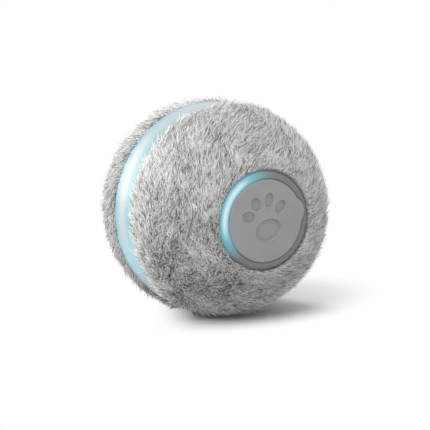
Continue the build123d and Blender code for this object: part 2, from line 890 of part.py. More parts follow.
with BuildPart() as base_supports:
    with BuildSketch(Plane.XY):
        with Locations(screw_places):
            Circle(boss_radius)
    extrude(amount=-core_radius)
    with BuildSketch(Plane.XY.offset(board_under)):
        with Locations(post_places):
            Circle(post_radius)
    extrude(amount=-core_radius)
    with BuildSketch(Plane.XY.offset(cell_under + rib_height)):
        rib_front = -pocket_front_out - rib_wall
        with Locations(
            (-balance_shift - pocket_side - rib_wall / 2, (rib_front + motor_out) / 2),
            (-balance_shift + pocket_side + rib_wall / 2, (rib_front + motor_out) / 2),
        ):
            Rectangle(rib_wall, motor_out - rib_front)
    extrude(amount=-core_radius)
    with BuildSketch(Plane.XY.offset(weight_top)):
        with Locations((-balance_shift, -pocket_front_out - rib_wall / 2)):
            Rectangle(2 * (pocket_side + rib_wall), rib_wall)
    extrude(amount=-core_radius)
    add(core_solid.part, mode=Mode.INTERSECT)

with BuildPart() as core_base:
    add(core_shape.part)
    split(bisect_by=Plane.XY, keep=Keep.BOTTOM)
    add(base_supports.part)
    with BuildSketch(Plane.XY.offset(board_under)):
        with Locations(post_places):
            Circle(peg_radius)
    extrude(amount=peg_height)
    with BuildSketch(across(motor_out)):
        cradle_bore = motor_radius + motor_fit_gap
        with Locations(motor_centre):
            Circle(cradle_bore + cradle_wall)
            Circle(cradle_bore, mode=Mode.SUBTRACT)
        with Locations((motor_centre[0], -cradle_top_drop)):
            Rectangle(
                2 * (cradle_bore + cradle_wall),
                2 * (cradle_bore + cradle_wall),
                align=(Align.CENTER, Align.MAX),
                mode=Mode.INTERSECT,
            )
    extrude(amount=cradle_length)
    for centre, gear_start, gear_top in gear_pin_ends:
        with BuildSketch(across(core_back_out)):
            with Locations(centre):
                Circle(pin_boss_radius)
        extrude(amount=-(gear_start - layer_gap - core_back_out))
        with BuildSketch(across(pin_start)):
            with Locations(centre):
                Circle(gear_pin_radius + axle_seat_gap)
        extrude(amount=-(gear_start - pin_start), mode=Mode.SUBTRACT)
    with BuildSketch(across(motor_out)):
        with Locations(motor_centre):
            Circle(motor_nose_radius + nose_hole_gap)
    extrude(amount=-(core_wall + cut_over), mode=Mode.SUBTRACT)
    with BuildSketch(Plane.XY):
        with Locations(screw_places):
            Circle(core_screw_radius + thread_gap)
    extrude(amount=-(core_screw_length - core_screw_floor + cut_over), mode=Mode.SUBTRACT)
    with BuildSketch(across(-journal_end_out - cut_over)):
        with Locations((0, -button_drop)):
            Circle(button_radius + button_gap)
    extrude(amount=-(journal_end_wall + 2 * cut_over), mode=Mode.SUBTRACT)
write_piece(core_base.part, "core_base")

port_middle = board_thickness / 2 + port_height / 2
screw_column_radius = core_screw_head_radius + core_screw_head_gap + core_column_wall
with BuildPart() as cover_columns:
    with BuildSketch(Plane.XY):
        with Locations(screw_places):
            Circle(screw_column_radius)
    extrude(amount=core_radius)
    add(core_solid.part, mode=Mode.INTERSECT)

with BuildPart() as core_cover:
    add(core_shape.part)
    split(bisect_by=Plane.XY, keep=Keep.TOP)
    add(cover_columns.part)
    with BuildSketch(Plane.XY):
        with Locations(screw_places):
            Circle(core_screw_radius + screw_hole_gap)
    extrude(amount=core_screw_floor, mode=Mode.SUBTRACT)
    with BuildSketch(Plane.XY.offset(core_screw_floor)):
        with Locations(screw_places):
            Circle(core_screw_head_radius + core_screw_head_gap)
    extrude(amount=core_radius, mode=Mode.SUBTRACT)
    with BuildSketch(across(-journal_end_out - cut_over)):
        with Locations((0, port_middle)):
            port_hole_height = port_height + 2 * port_hole_gap
            SlotOverall(port_width + 2 * port_hole_gap, port_hole_height)
    extrude(amount=-(journal_end_wall + 2 * cut_over), mode=Mode.SUBTRACT)
write_piece(core_cover.part, "core_cover")

with BuildPart() as core_screws:
    with BuildSketch(Plane.XY.offset(core_screw_floor)):
        with Locations(screw_places):
            Circle(core_screw_head_radius)
    extrude(amount=core_screw_head)
    with BuildSketch(Plane.XY.offset(core_screw_floor)):
        with Locations(screw_places):
            Circle(core_screw_radius)
    extrude(amount=-core_screw_length)
write_piece(core_screws.part, "core_screws")


# The battery on its pad, and the counterweight in the bottom of the core.

cell_back = motor_out - cell_back_gap
with BuildPart() as battery_cell:
    with BuildSketch(Plane.XY.offset(cell_under)):
        with Locations((-balance_shift, cell_back - cell_length / 2)):
            Rectangle(cell_width, cell_length)
    extrude(amount=cell_thickness)
    fillet(battery_cell.edges().filter_by(Axis.Y), cell_edge_round)
write_piece(battery_cell.part, "battery_cell")

with BuildPart() as battery_pad:
    with BuildSketch(Plane.XY.offset(weight_top)):
        with Locations((-balance_shift, 0)):
            Rectangle(cell_width - 2 * cell_edge_round, 2 * weight_half_length)
    extrude(amount=pad_thickness)
write_piece(battery_pad.part, "battery_pad")

with BuildPart() as counterweight:
    with BuildSketch(Plane.XY):
        core_profile(
            core_hollow_radius - weight_gap, core_front_out - core_wall, core_back_out - core_wall
        )
    revolve(axis=Axis.Y)
    with BuildSketch(Plane.XY.offset(weight_top)):
        with Locations((-balance_shift, 0)):
            Rectangle(cell_width, 2 * weight_half_length)
    extrude(amount=-core_radius, mode=Mode.INTERSECT)
write_piece(counterweight.part, "counterweight")


# The circuit board, and what is soldered to it.

board_front = -(core_front_out - core_wall - board_front_gap)
tongue_front = -(journal_floor_out - tongue_end_gap)
board_middle = (board_front + board_back_out) / 2
board_length = board_back_out - board_front
board_top = board_thickness / 2


def on_board(place_share):
    """(x, y) of a place on the board, from its shares of the board's half width and half length."""
    side_share, along_share = place_share
    return (side_share * board_width / 2, board_middle + along_share * board_length / 2)


with BuildPart() as main_board:
    with BuildSketch(Plane.XY.offset(board_under)):
        with Locations((0, board_middle)):
            RectangleRounded(board_width, board_length, board_corner_round)
        with Locations((0, (tongue_front + board_middle) / 2)):
            Rectangle(tongue_width, board_middle - tongue_front)
        with Locations(post_places):
            Circle(peg_radius + peg_gap, mode=Mode.SUBTRACT)
    extrude(amount=board_thickness)
write_piece(main_board.part, "main_board")

with BuildPart() as led_lamps:
    with BuildSketch(Plane.XY.offset(board_top)):
        with Locations([on_board(place_share) for place_share in led_place_shares]):
            Rectangle(led_width, led_width)
    extrude(amount=led_height)
write_piece(led_lamps.part, "led_lamps")

chip_sizes = (
    (chip_size, chip_size, chip_height),
    (charger_width, charger_length, charger_height),
    (sensor_size, sensor_size, chip_height),
)
with BuildPart() as board_chips:
    for place_share, (width, length, height) in zip(chip_place_shares, chip_sizes):
        with BuildSketch(Plane.XY.offset(board_top)):
            with Locations(on_board(place_share)):
                Rectangle(width, length)
        extrude(amount=height)
write_piece(board_chips.part, "board_chips")

port_mouth_out = journal_end_out - port_setback
with BuildPart() as charging_port:
    with BuildSketch(across(-port_mouth_out)):
        with Locations((0, port_middle)):
            SlotOverall(port_width, port_height)
    extrude(amount=-port_length)
    with BuildSketch(across(-port_mouth_out)):
        with Locations((0, port_middle)):
            SlotOverall(port_width - 2 * port_wall, port_height - 2 * port_wall)
    extrude(amount=-(port_length - port_wall), mode=Mode.SUBTRACT)
write_piece(charging_port.part, "charging_port")

with BuildPart() as port_tongue:
    with BuildSketch(across(-(port_mouth_out - port_length + port_wall))):
        with Locations((0, port_middle)):
            Rectangle(port_tongue_width, port_tongue_height)
    extrude(amount=port_tongue_length)
write_piece(port_tongue.part, "port_tongue")

with BuildPart() as power_switch:
    with BuildSketch(across(-switch_front_out)):
        with Locations((0, board_under)):
            Rectangle(switch_width, switch_height, align=(Align.CENTER, Align.MAX))
    extrude(amount=-switch_depth)
    with BuildSketch(across(-switch_front_out)):
        with Locations((0, -button_drop)):
            Circle(plunger_radius + plunger_gap)
    extrude(amount=-plunger_bore_depth, mode=Mode.SUBTRACT)
write_piece(power_switch.part, "power_switch")

plunger_end_out = switch_front_out + plunger_proud
with BuildPart() as switch_plunger:
    with BuildSketch(across(-plunger_end_out)):
        with Locations((0, -button_drop)):
            Circle(plunger_radius)
    extrude(amount=-(plunger_proud + plunger_inside))
write_piece(switch_plunger.part, "switch_plunger")

flange_front_out = journal_floor_out - button_flange_gap
with BuildPart() as power_button:
    with BuildSketch(across(-plunger_end_out)):
        with Locations((0, -button_drop)):
            Circle(button_stem_radius)
    extrude(amount=flange_front_out - plunger_end_out)
    with BuildSketch(across(-flange_front_out)):
        with Locations((0, -button_drop)):
            Circle(button_flange_radius)
    extrude(amount=-button_flange)
    with BuildSketch(across(-flange_front_out)):
        with Locations((0, -button_drop)):
            Circle(button_radius)
    extrude(amount=journal_end_out + button_proud - flange_front_out)
write_piece(power_button.part, "power_button")


# The leads, from the battery and from the motor up to the underside of the board.


def lead_pair(side, start_y, height):
    """Two leads that run forward from one end, bend and rise to the board."""
    with BuildPart() as pair:
        for x in (side - lead_pitch / 2, side + lead_pitch / 2):
            with BuildLine() as route:
                FilletPolyline(
                    (x, start_y, height),
                    (x, start_y - lead_run, height),
                    (x, start_y - lead_run, board_under),
                    radius=lead_bend,
                )
            with BuildSketch(Plane(origin=(x, start_y, height), z_dir=(0, -1, 0))) as lead_section:
                Circle(lead_radius)
            sweep(sections=lead_section.sketch, path=route.wires()[0])
    return pair.part


cell_middle_height = cell_under + cell_thickness / 2
write_piece(
    lead_pair(-cell_lead_side, cell_back - cell_length, cell_middle_height), "battery_leads"
)
write_piece(lead_pair(motor_centre[0], cap_start, motor_centre[1]), "motor_leads")
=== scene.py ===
# %% [markdown]
# # Dressing a plush ball with a lit band
#
# The ball's construction is ready: two hard half shells, the light band between them, and a core
# with its motor, battery and gears are nodes of a imported frame. This lesson gives the ball its looks.
# What a hand would touch is modelled again in fine meshes: the plush pile, the band, the glow rings
# and the soft end plugs. Everything else keeps its shape and gets a finish made of shader nodes.
#
# The first step loads the frame. It also measures it, and the bottom of its box sets the floor.

# %% Load the frame
import json
import math

import bpy
import numpy as np
from mathutils import Matrix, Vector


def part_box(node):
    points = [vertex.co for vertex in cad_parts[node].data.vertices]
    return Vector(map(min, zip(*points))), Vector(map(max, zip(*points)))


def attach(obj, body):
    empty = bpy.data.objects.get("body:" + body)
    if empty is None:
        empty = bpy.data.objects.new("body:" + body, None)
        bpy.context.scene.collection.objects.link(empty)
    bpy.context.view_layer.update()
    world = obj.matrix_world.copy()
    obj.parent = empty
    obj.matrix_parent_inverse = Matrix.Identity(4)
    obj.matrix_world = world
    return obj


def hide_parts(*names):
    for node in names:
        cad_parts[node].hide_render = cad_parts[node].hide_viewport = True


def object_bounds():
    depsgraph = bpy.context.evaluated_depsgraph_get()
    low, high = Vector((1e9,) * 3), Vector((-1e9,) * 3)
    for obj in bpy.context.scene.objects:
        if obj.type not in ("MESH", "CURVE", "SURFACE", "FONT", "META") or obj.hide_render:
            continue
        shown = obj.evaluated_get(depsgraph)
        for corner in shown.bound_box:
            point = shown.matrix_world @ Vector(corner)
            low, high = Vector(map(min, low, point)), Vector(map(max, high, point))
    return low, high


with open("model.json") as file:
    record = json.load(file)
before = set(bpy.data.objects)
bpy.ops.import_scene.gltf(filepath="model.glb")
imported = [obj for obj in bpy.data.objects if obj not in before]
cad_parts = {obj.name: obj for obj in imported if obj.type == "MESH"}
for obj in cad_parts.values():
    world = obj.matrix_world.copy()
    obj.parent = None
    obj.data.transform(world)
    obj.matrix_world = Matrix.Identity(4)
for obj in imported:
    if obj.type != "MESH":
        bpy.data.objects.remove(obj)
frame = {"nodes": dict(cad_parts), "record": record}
built_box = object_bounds()
MM = 0.001
built_size = [round(side / MM, 2) for side in built_box[1] - built_box[0]]
print("nodes:", len(frame["nodes"]), "box:", built_size)

# %% [markdown]
# ## Camera
#
# The picture was taken from a little above the ball, with the charging end turned to the right. A
# camera can be aimed with a constraint, or its three axes can be written down. Writing them down
# keeps the picture's upright exact, so the matrix is built from the angles round and above the ball.
# The long lens stands 20 ball radii away, which gives the flat perspective of a catalogue picture.

# %% Camera
camera_turn = math.radians(-29.24)
camera_rise = math.radians(9.42)
camera_distance = 430 * MM
camera_drop = 1.66 * MM  # the ball lies a little above the middle of the picture


def camera_axes(turn, rise):
    """Right, up and back of a camera that stands turn round the ball and rise above it."""
    back = np.array((math.sin(turn) * math.cos(rise), -math.cos(turn) * math.cos(rise), math.sin(rise)))
    right = np.array((math.cos(turn), math.sin(turn), 0))
    return right, np.cross(back, right), back


def standing(right, up, back, place):
    """The matrix of a camera or a lamp that stands at a place and looks against its back axis."""
    axes = np.column_stack([right, up, back, place])
    return Matrix(np.vstack([axes, (0, 0, 0, 1)]).tolist())


right, up, back = camera_axes(camera_turn, camera_rise)
lens = bpy.data.cameras.new("camera")
lens.lens = 182.5
lens.sensor_width = 36
lens.clip_start = 10 * MM
lens.clip_end = 20
camera = bpy.data.objects.new("camera", lens)
camera.matrix_world = standing(right, up, back, back * camera_distance - up * camera_drop)
bpy.context.scene.collection.objects.link(camera)
bpy.context.scene.camera = camera
bpy.context.scene.view_settings.view_transform = "Standard"
print("camera stands", round(camera_distance, 3), "m away")

# %% [markdown]
# ## A way to write shader maths
#
# Materials here are sums and products of patterns. Wiring Math nodes by hand hides that, so one small
# class wraps a node's output and turns Python's operators into Math nodes. Its method node makes any
# other node: first its settings, because some of them change its sockets, then the sockets' values.

# %% The wrapped socket


class Tint:
    """One output of a shader node, or a whole tree before it has any."""

    def __init__(self, tree, socket=None):
        self.tree = tree
        self.socket = socket

    def fill(self, socket, value):
        """Links a wrapped output to a socket, or sets a plain value on it."""
        if isinstance(value, Tint):
            self.tree.links.new(value.socket, socket)
        else:
            socket.default_value = value

    def node(self, kind, settings=None, sockets=None, output=0):
        """Adds one node and returns the output that is asked for."""
        made = self.tree.nodes.new(kind)
        for name, setting in (settings or {}).items():
            if name == "stops":
                self.ramp(made.color_ramp, setting)
            else:
                setattr(made, name, setting)
        for name, value in (sockets or {}).items():
            self.fill(made.inputs[name], value)
        return Tint(self.tree, made.outputs[output] if made.outputs else None)

    def ramp(self, ramp, stops):
        """Gives a colour ramp its stops, each a place from 0 to 1 and a colour."""
        while len(ramp.elements) < len(stops):
            ramp.elements.new(1)
        for element, (where, rgb) in zip(ramp.elements, stops):
            element.position = where
            element.color = (*rgb, 1)

    def maths(self, operation, *values):
        """Adds one Math node."""
        return self.node("ShaderNodeMath", {"operation": operation}, dict(enumerate(values)))

    def __add__(self, other):
        return self.maths("ADD", self, other)

    def __radd__(self, other):
        return self.maths("ADD", other, self)

    def __sub__(self, other):
        return self.maths("SUBTRACT", self, other)

    def __rsub__(self, other):
        return self.maths("SUBTRACT", other, self)

    def __mul__(self, other):
        return self.maths("MULTIPLY", self, other)

    def __rmul__(self, other):
        return self.maths("MULTIPLY", other, self)

    def __truediv__(self, other):
        return self.maths("DIVIDE", self, other)

    def __pow__(self, other):
        return self.maths("POWER", self, other)

    def step(self, low, high):
        """0 below low, 1 above high and a smooth rise between them."""
        settings = {"interpolation_type": "SMOOTHSTEP", "clamp": True}
        return self.node("ShaderNodeMapRange", settings, {"Value": self, "From Min": low, "From Max": high})

    def mix(self, first, second):
        """The first colour where this value is 0 and the second where it is 1."""
        settings = {"data_type": "RGBA"}
        sockets = {0: self, 6: first, 7: second}
        return self.node("ShaderNodeMix", settings, sockets, 2)


def colour(red, green, blue):
    """A colour as a picture editor shows it, from 0 to 255, turned into light."""
    shares = np.array((red, green, blue)) / 255
    light = np.where(shares > 0.04045, ((shares + 0.055) / 1.055) ** 2.4, shares / 12.92)
    return tuple(float(part) for part in light)


def opaque(rgb):
    """The same colour with its alpha, as a colour socket wants it."""
    return (*rgb, 1)


def paint(red, green, blue):
    """A colour from 0 to 255, ready for a colour socket."""
    return opaque(colour(red, green, blue))


print("a mid grey holds", round(colour(128, 128, 128)[0], 3), "of the light")

# %% [markdown]
# ## Finishes for moulded, metal and rubber pieces
#
# A flat colour looks like a computer drawing. Moulded plastic has a faint cloudiness and an orange
# peel that catches the light, turned metal has fine lines, and rubber is dull with a powdery bloom.
# Each of these is one function, so that the pieces of a kind look alike and differ only in colour.
# The patterns read Object coordinates, which are in metres, so a scale is one over a size in metres.

# %% Finish functions
white = opaque((1, 1, 1))
black = opaque((0, 0, 0))


def start_finish(name):
    """An empty material, and the Object coordinates to draw patterns with."""
    material = bpy.data.materials.new(name)
    material.use_nodes = True
    material.node_tree.nodes.clear()
    sheet = Tint(material.node_tree)
    return material, sheet, sheet.node("ShaderNodeTexCoord", output="Object")


def close_finish(sheet, **sockets):
    """Ends a material in one Principled shader with these sockets."""
    named = {name.replace("_", " "): value for name, value in sockets.items()}
    shader = sheet.node("ShaderNodeBsdfPrincipled", {}, named)
    sheet.node("ShaderNodeOutputMaterial", {}, {"Surface": shader})


def noise(place, size, detail=2.0, roughness=0.5):
    """Cloudy noise whose blobs are about size across, from 0 to 1."""
    sockets = {"Vector": place, "Scale": 1 / size, "Detail": detail, "Roughness": roughness}
    return place.node("ShaderNodeTexNoise", {}, sockets, "Fac")


def stretched(place, scale):
    """The same place with each axis scaled, so that a pattern runs along one of them."""
    return place.node("ShaderNodeMapping", {}, {"Vector": place, "Scale": scale})


def bump(height, depth, strength=1.0):
    """A normal that is tilted as if the surface rose by depth where height is 1."""
    return height.node("ShaderNodeBump", {}, {"Height": height, "Distance": depth, "Strength": strength})


def moulded(name, rgb, roughness=0.42, clouds=0.08, grain=0.12 * MM):
    """Moulded plastic: faint clouds of tone, and a fine orange peel."""
    material, sheet, place = start_finish(name)
    cloud = noise(place, 4 * MM, 3)
    peel = noise(place, grain, 2)
    shade = ((cloud - 0.5) * clouds + 1 - clouds / 2).mix(black, opaque(rgb))
    close_finish(
        sheet,
        Base_Color=shade,
        Roughness=(cloud - 0.5) * 0.15 + roughness,
        Normal=bump(peel, 0.006 * MM),
    )
    return material


def turned_metal(name, rgb, roughness=0.3, lines=0.15):
    """Turned or drawn metal: fine lines round the axle, and a few duller patches."""
    material, sheet, place = start_finish(name)
    line = noise(stretched(place, (0.3, 6, 0.3)), 0.25 * MM, 3)
    patch = noise(place, 2.5 * MM, 2)
    shade = (1 - line * lines).mix(black, opaque(rgb))
    close_finish(
        sheet,
        Base_Color=shade,
        Metallic=1.0,
        Roughness=patch * 0.2 + line * 0.12 + (roughness - 0.14),
        Normal=bump(line, 0.004 * MM),
    )
    return material


def rubber(name, rgb, roughness=0.75, bloom=0.1):
    """Rubber or silicone: dull, with a powdery bloom and a very fine grain."""
    material, sheet, place = start_finish(name)
    cloud = noise(place, 3 * MM, 4, 0.6)
    grain = noise(place, 0.09 * MM, 2)
    pale = tuple(part + (1 - part) * bloom for part in rgb)
    close_finish(
        sheet,
        Base_Color=cloud.step(0.3, 0.75).mix(opaque(rgb), opaque(pale)),
        Roughness=grain * 0.12 + (roughness - 0.06),
        Normal=bump(grain, 0.008 * MM, 0.6),
        Specular_IOR_Level=0.35,
    )
    return material


print("finish functions are ready")

# %% [markdown]
# ## The finishes of the inner works
#
# The record names a slot for each node, so one table from slot to finish dresses the whole core. The
# circuit board has copper traces under its green mask, and the two leads of each pair differ in
# colour by their side. A glow in the lamps tells where the band's light comes from.

# %% Inner finishes


def trace_lines(place, stretch, scale, width, offset):
    """Lines like the joints of a brick wall that lies flat on the board: 1 on them and 0 between."""
    sockets = {"Vector": stretched(place, stretch), "Scale": scale, "Mortar Size": width}
    return place.node("ShaderNodeTexBrick", {"offset": offset}, sockets, "Fac")


def circuit_board(name):
    """Green mask over copper: a maze of traces with a coarser one across it."""
    material, sheet, place = start_finish(name)
    fine = trace_lines(place, (1, 1, 0), 420.0, 0.06, 0.37)
    coarse = trace_lines(place, (0.7, 1.9, 0), 310.0, 0.05, 0.61)
    trace = place.maths("MAXIMUM", fine, coarse)
    shade = trace.mix(paint(18, 84, 52), paint(44, 128, 76))
    close_finish(sheet, Base_Color=shade, Roughness=0.38, Normal=bump(trace, 0.02 * MM))
    return material


def lamp_finish(name):
    """A lamp's milky body, with a cloudy glow between cyan and white."""
    material, sheet, place = start_finish(name)
    cloud = noise(place, 0.5 * MM)
    glow = cloud.mix(paint(150, 226, 240), white)
    close_finish(
        sheet,
        Base_Color=paint(236, 240, 232),
        Emission_Color=glow,
        Emission_Strength=0.9,
        Roughness=0.3,
    )
    return material


def lead_finish(name, middle):
    """Two leads in one node: red to one side of the middle and black to the other."""
    material, sheet, place = start_finish(name)
    side = place.node("ShaderNodeSeparateXYZ", {}, {"Vector": place}, "X").step(middle, middle + 0.01 * MM)
    cloud = noise(place, 0.6 * MM)
    red = cloud.mix(paint(150, 20, 18), paint(190, 32, 26))
    dark = cloud.mix(paint(22, 22, 24), paint(44, 44, 48))
    close_finish(sheet, Base_Color=side.mix(red, dark), Roughness=0.45, Normal=bump(cloud, 0.01 * MM))
    return material


finishes = {
    "shell": moulded("shell_plastic", colour(226, 228, 228)),
    "seal": rubber("seal_rubber", colour(48, 50, 52)),
    "bearing": moulded("bearing_plastic", colour(232, 226, 208), 0.35),
    "steel": turned_metal("plain_steel", colour(190, 192, 196)),
    "brass": turned_metal("plain_brass", colour(206, 172, 96)),
    "gear": moulded("gear_plastic", colour(236, 236, 228), 0.32),
    "core": moulded("core_plastic", colour(72, 75, 80), 0.5, 0.16),
    "motor": turned_metal("motor_steel", colour(196, 198, 200), 0.36, 0.25),
    "motor_cap": moulded("motor_cap_plastic", colour(230, 230, 222)),
    "battery": turned_metal("cell_pouch", colour(190, 194, 198), 0.42, 0.1),
    "foam": rubber("black_foam", colour(34, 34, 36), 0.9),
    "board": circuit_board("board_mask"),
    "lamp": lamp_finish("lamp_body"),
    "chip": moulded("chip_moulding", colour(36, 36, 38), 0.55, 0.2),
    "port": turned_metal("port_steel", colour(204, 206, 210), 0.24, 0.08),
    "port_tongue": moulded("port_tongue_plastic", colour(28, 28, 30), 0.5, 0.2),
    "button": moulded("button_plastic", colour(92, 95, 98), 0.55, 0.14),
}


def middle_of(node, axis):
    """The middle of a node's box along one axis."""
    low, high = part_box(node)
    return (low[axis] + high[axis]) / 2


for row in frame["record"]["subparts"]:
    node = frame["nodes"][row["node"]]
    if row["material_slot"] == "wire":
        finish = lead_finish(row["node"] + "_insulation", middle_of(row["node"], 0))
    else:
        finish = finishes.get(row["material_slot"])
    if finish is not None:
        node.data.materials.clear()
        node.data.materials.append(finish)
print("dressed", len(finishes), "slots of the inner works")

# %% [markdown]
# ## Meshes from numpy
#
# A new piece here is a surface worked out as whole arrays. A grid of rows and columns becomes a mesh
# by joining each point to its neighbours. Both directions may close on themselves, as on a ring, or
# the first and last rows may close to a point, as on a disc. Faces have to point outwards, and the
# sign of the enclosed volume tells whether they do, so the helper turns them where it is negative.

# %% Faces and pieces


def grid_faces(rows, columns, closed_rows):
    """Two triangles for each cell of a grid whose columns close round. Rows close if closed_rows."""
    row = np.arange(rows if closed_rows else rows - 1)[:, None]
    column = np.arange(columns)[None, :]
    next_row = (row + 1) % rows
    next_column = (column + 1) % columns
    a = row * columns + column
    b = row * columns + next_column
    c = next_row * columns + next_column
    d = next_row * columns + column
    halves = [np.stack(corners, -1).reshape(-1, 3) for corners in ([a, b, c], [a, c, d])]
    return np.concatenate(halves)


def pole_faces(first, columns, pole):
    """A fan from one row of the grid, whose first point has this number, to a pole."""
    column = np.arange(columns)
    next_column = (column + 1) % columns
    return np.stack([first + next_column, first + column, np.full(columns, pole)], -1)


def facing_out(points, faces):
    """The faces, turned if they enclose a negative volume.

    The volume is the sum over the triangles of a corner times the cross product of the other two,
    divided by six.
    """
    a, b, c = (points[faces[:, corner]] for corner in range(3))
    volume = np.einsum("ij,ij->i", a, np.cross(b, c)).sum() / 6
    return faces if volume > 0 else faces[:, ::-1]


def make_piece(name, points, faces, material, body):
    """Puts points and triangles into a mesh object that rides on a body of the frame."""
    mesh = bpy.data.meshes.new(name)
    mesh.vertices.add(len(points))
    mesh.vertices.foreach_set("co", np.ascontiguousarray(points, np.float32).ravel())
    mesh.loops.add(faces.size)
    mesh.loops.foreach_set("vertex_index", np.ascontiguousarray(faces, np.int32).ravel())
    mesh.polygons.add(len(faces))
    mesh.polygons.foreach_set("loop_start", np.arange(0, faces.size, 3, dtype=np.int32))
    mesh.polygons.foreach_set("use_smooth", np.ones(len(faces), bool))
    mesh.update(calc_edges=True)
    mesh.materials.append(material)
    piece = bpy.data.objects.new(name, mesh)
    bpy.context.scene.collection.objects.link(piece)
    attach(piece, body)
    return piece


print("a closed ring of 3 rows and 4 columns has", len(grid_faces(3, 4, True)), "triangles")

# %% [markdown]
# Most new pieces are turned, as on a lathe. Their shape starts as an outline in a plane, with corners
# that are rounded as a mould's are, and with points close enough for a smooth surface.

# %% Outline helpers


def smooth_rise(value, low, high):
    """0 below low and 1 above high. Between them, 3 times the share squared less twice its cube."""
    share = np.clip((value - low) / (high - low), 0, 1)
    return share * share * (3 - 2 * share)


def rounded_loop(corners, steps=6):
    """A closed outline in a plane whose corners are cut off by arcs.

    Each corner is (x, y, radius). The arc touches both edges, at the radius divided by the tangent of
    half the angle between them, and its middle lies on the line that halves that angle.
    """
    at = np.array([corner[:2] for corner in corners], float)
    outline = []
    for index, (_, _, radius) in enumerate(corners):
        corner = at[index]
        if radius == 0:
            outline.append(corner[None])
            continue
        to_last = at[index - 1] - corner
        to_next = at[(index + 1) % len(at)] - corner
        to_last /= np.linalg.norm(to_last)
        to_next /= np.linalg.norm(to_next)
        half = math.acos(np.clip(to_last @ to_next, -1, 1)) / 2
        middle = corner + (to_last + to_next) / np.linalg.norm(to_last + to_next) * radius / math.sin(half)
        start = corner + to_last * radius / math.tan(half) - middle
        end = corner + to_next * radius / math.tan(half) - middle
        share = np.linspace(0, 1, steps)[:, None]
        turn = math.acos(np.clip(start @ end / radius**2, -1, 1))
        arc = (np.sin((1 - share) * turn) * start + np.sin(share * turn) * end) / math.sin(turn)
        outline.append(middle + arc)
    return np.concatenate(outline)


def resample(outline, spacing):
    """The same closed outline with points no further apart than spacing.

    Each side is cut into equal steps, as many as its length over the spacing, rounded up.
    """
    after = np.roll(outline, -1, axis=0)
    counts = np.maximum(1, np.ceil(np.linalg.norm(after - outline, axis=1) / spacing)).astype(int)
    start = np.repeat(outline, counts, axis=0)
    step = np.repeat((after - outline) / counts[:, None], counts, axis=0)
    inside = np.arange(counts.sum()) - np.repeat(np.cumsum(counts) - counts, counts)
    return start + step * inside[:, None]


def turned(outline, columns):
    """An outline of (out along Y, radius) carried once round the axle, as rows of points.

    x and z are the radius times the cosine and the sine of the angle.
    """
    angle = np.linspace(0, 2 * math.pi, columns, endpoint=False)
    out, radius = outline[:, :1], outline[:, 1:]
    spread = np.ones_like(angle)
    return np.stack([radius * np.cos(angle), out * spread, radius * np.sin(angle)], -1)


square = rounded_loop([(1, 1, 0.2), (-1, 1, 0.2), (-1, -1, 0.2), (1, -1, 0.2)])
print("a square with rounded corners has", len(square), "points")

# %% [markdown]
# ## The light band
#
# The band is one frosted clear ring with a gently crowned face and a chamfer to each cover. Light from
# the lamps inside comes through it, hottest along its middle at the sides, cyan at its edges, and
# weak at the top and the bottom. Real light through frosted plastic needs a slow render and can't be
# exported, so the glow is an emission whose colour is worked out from the place on the ring.

# %% Light band
band_edge = 3.2 * MM
band_crown_half = 2.95 * MM
band_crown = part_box("light_band")[1].x + 0.05 * MM  # just over the band as built
band_shoulder = band_crown - 0.08 * MM
band_foot = band_shoulder - 0.12 * MM
band_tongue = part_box("light_band")[1].y
tongue_radius = 18.55 * MM
band_inside = 17.9 * MM
band_corner = 0.3 * MM
band_spacing = 0.2 * MM
band_columns = 400
band_lit_way = (0.985, 0.12)  # to the side and up
band_hot_way = (0.951, 0.309)


def band_outline():
    """The band's section: a crown that bulges as a parabola, chamfers, sides and two tongues."""
    corners = [
        (band_crown_half, band_shoulder, band_corner),
        (band_edge, band_foot, band_corner / 2),
        (band_edge, tongue_radius, 0),
        (band_tongue, tongue_radius, 0),
        (band_tongue, band_inside, 0),
        (-band_tongue, band_inside, 0),
        (-band_tongue, tongue_radius, 0),
        (-band_edge, tongue_radius, 0),
        (-band_edge, band_foot, band_corner / 2),
        (-band_crown_half, band_shoulder, band_corner),
    ]
    outline = resample(rounded_loop(corners), band_spacing)
    on_top = outline[:, 1] > band_foot
    share = np.clip(outline[:, 0] / band_crown_half, -1, 1)
    outline[:, 1] += on_top * (1 - share**2) * (band_crown - band_shoulder)
    return outline


def around(place, side=-1):
    """Where a place lies: how far to the left and how high round the axle, its radius, and how far out.

    Left is as seen by someone who faces one end of the ball, the front with side -1, the back with 1.
    """
    axes = [place.node("ShaderNodeSeparateXYZ", {}, {"Vector": place}, name) for name in "XYZ"]
    radius = (axes[0] * axes[0] + axes[2] * axes[2]) ** 0.5
    return axes[0] * side / radius, axes[2] / radius, radius, axes[1]


def towards(left, high, way):
    """How far a place round the axle faces a way that is given as (left, up)."""
    return left * way[0] + high * way[1]


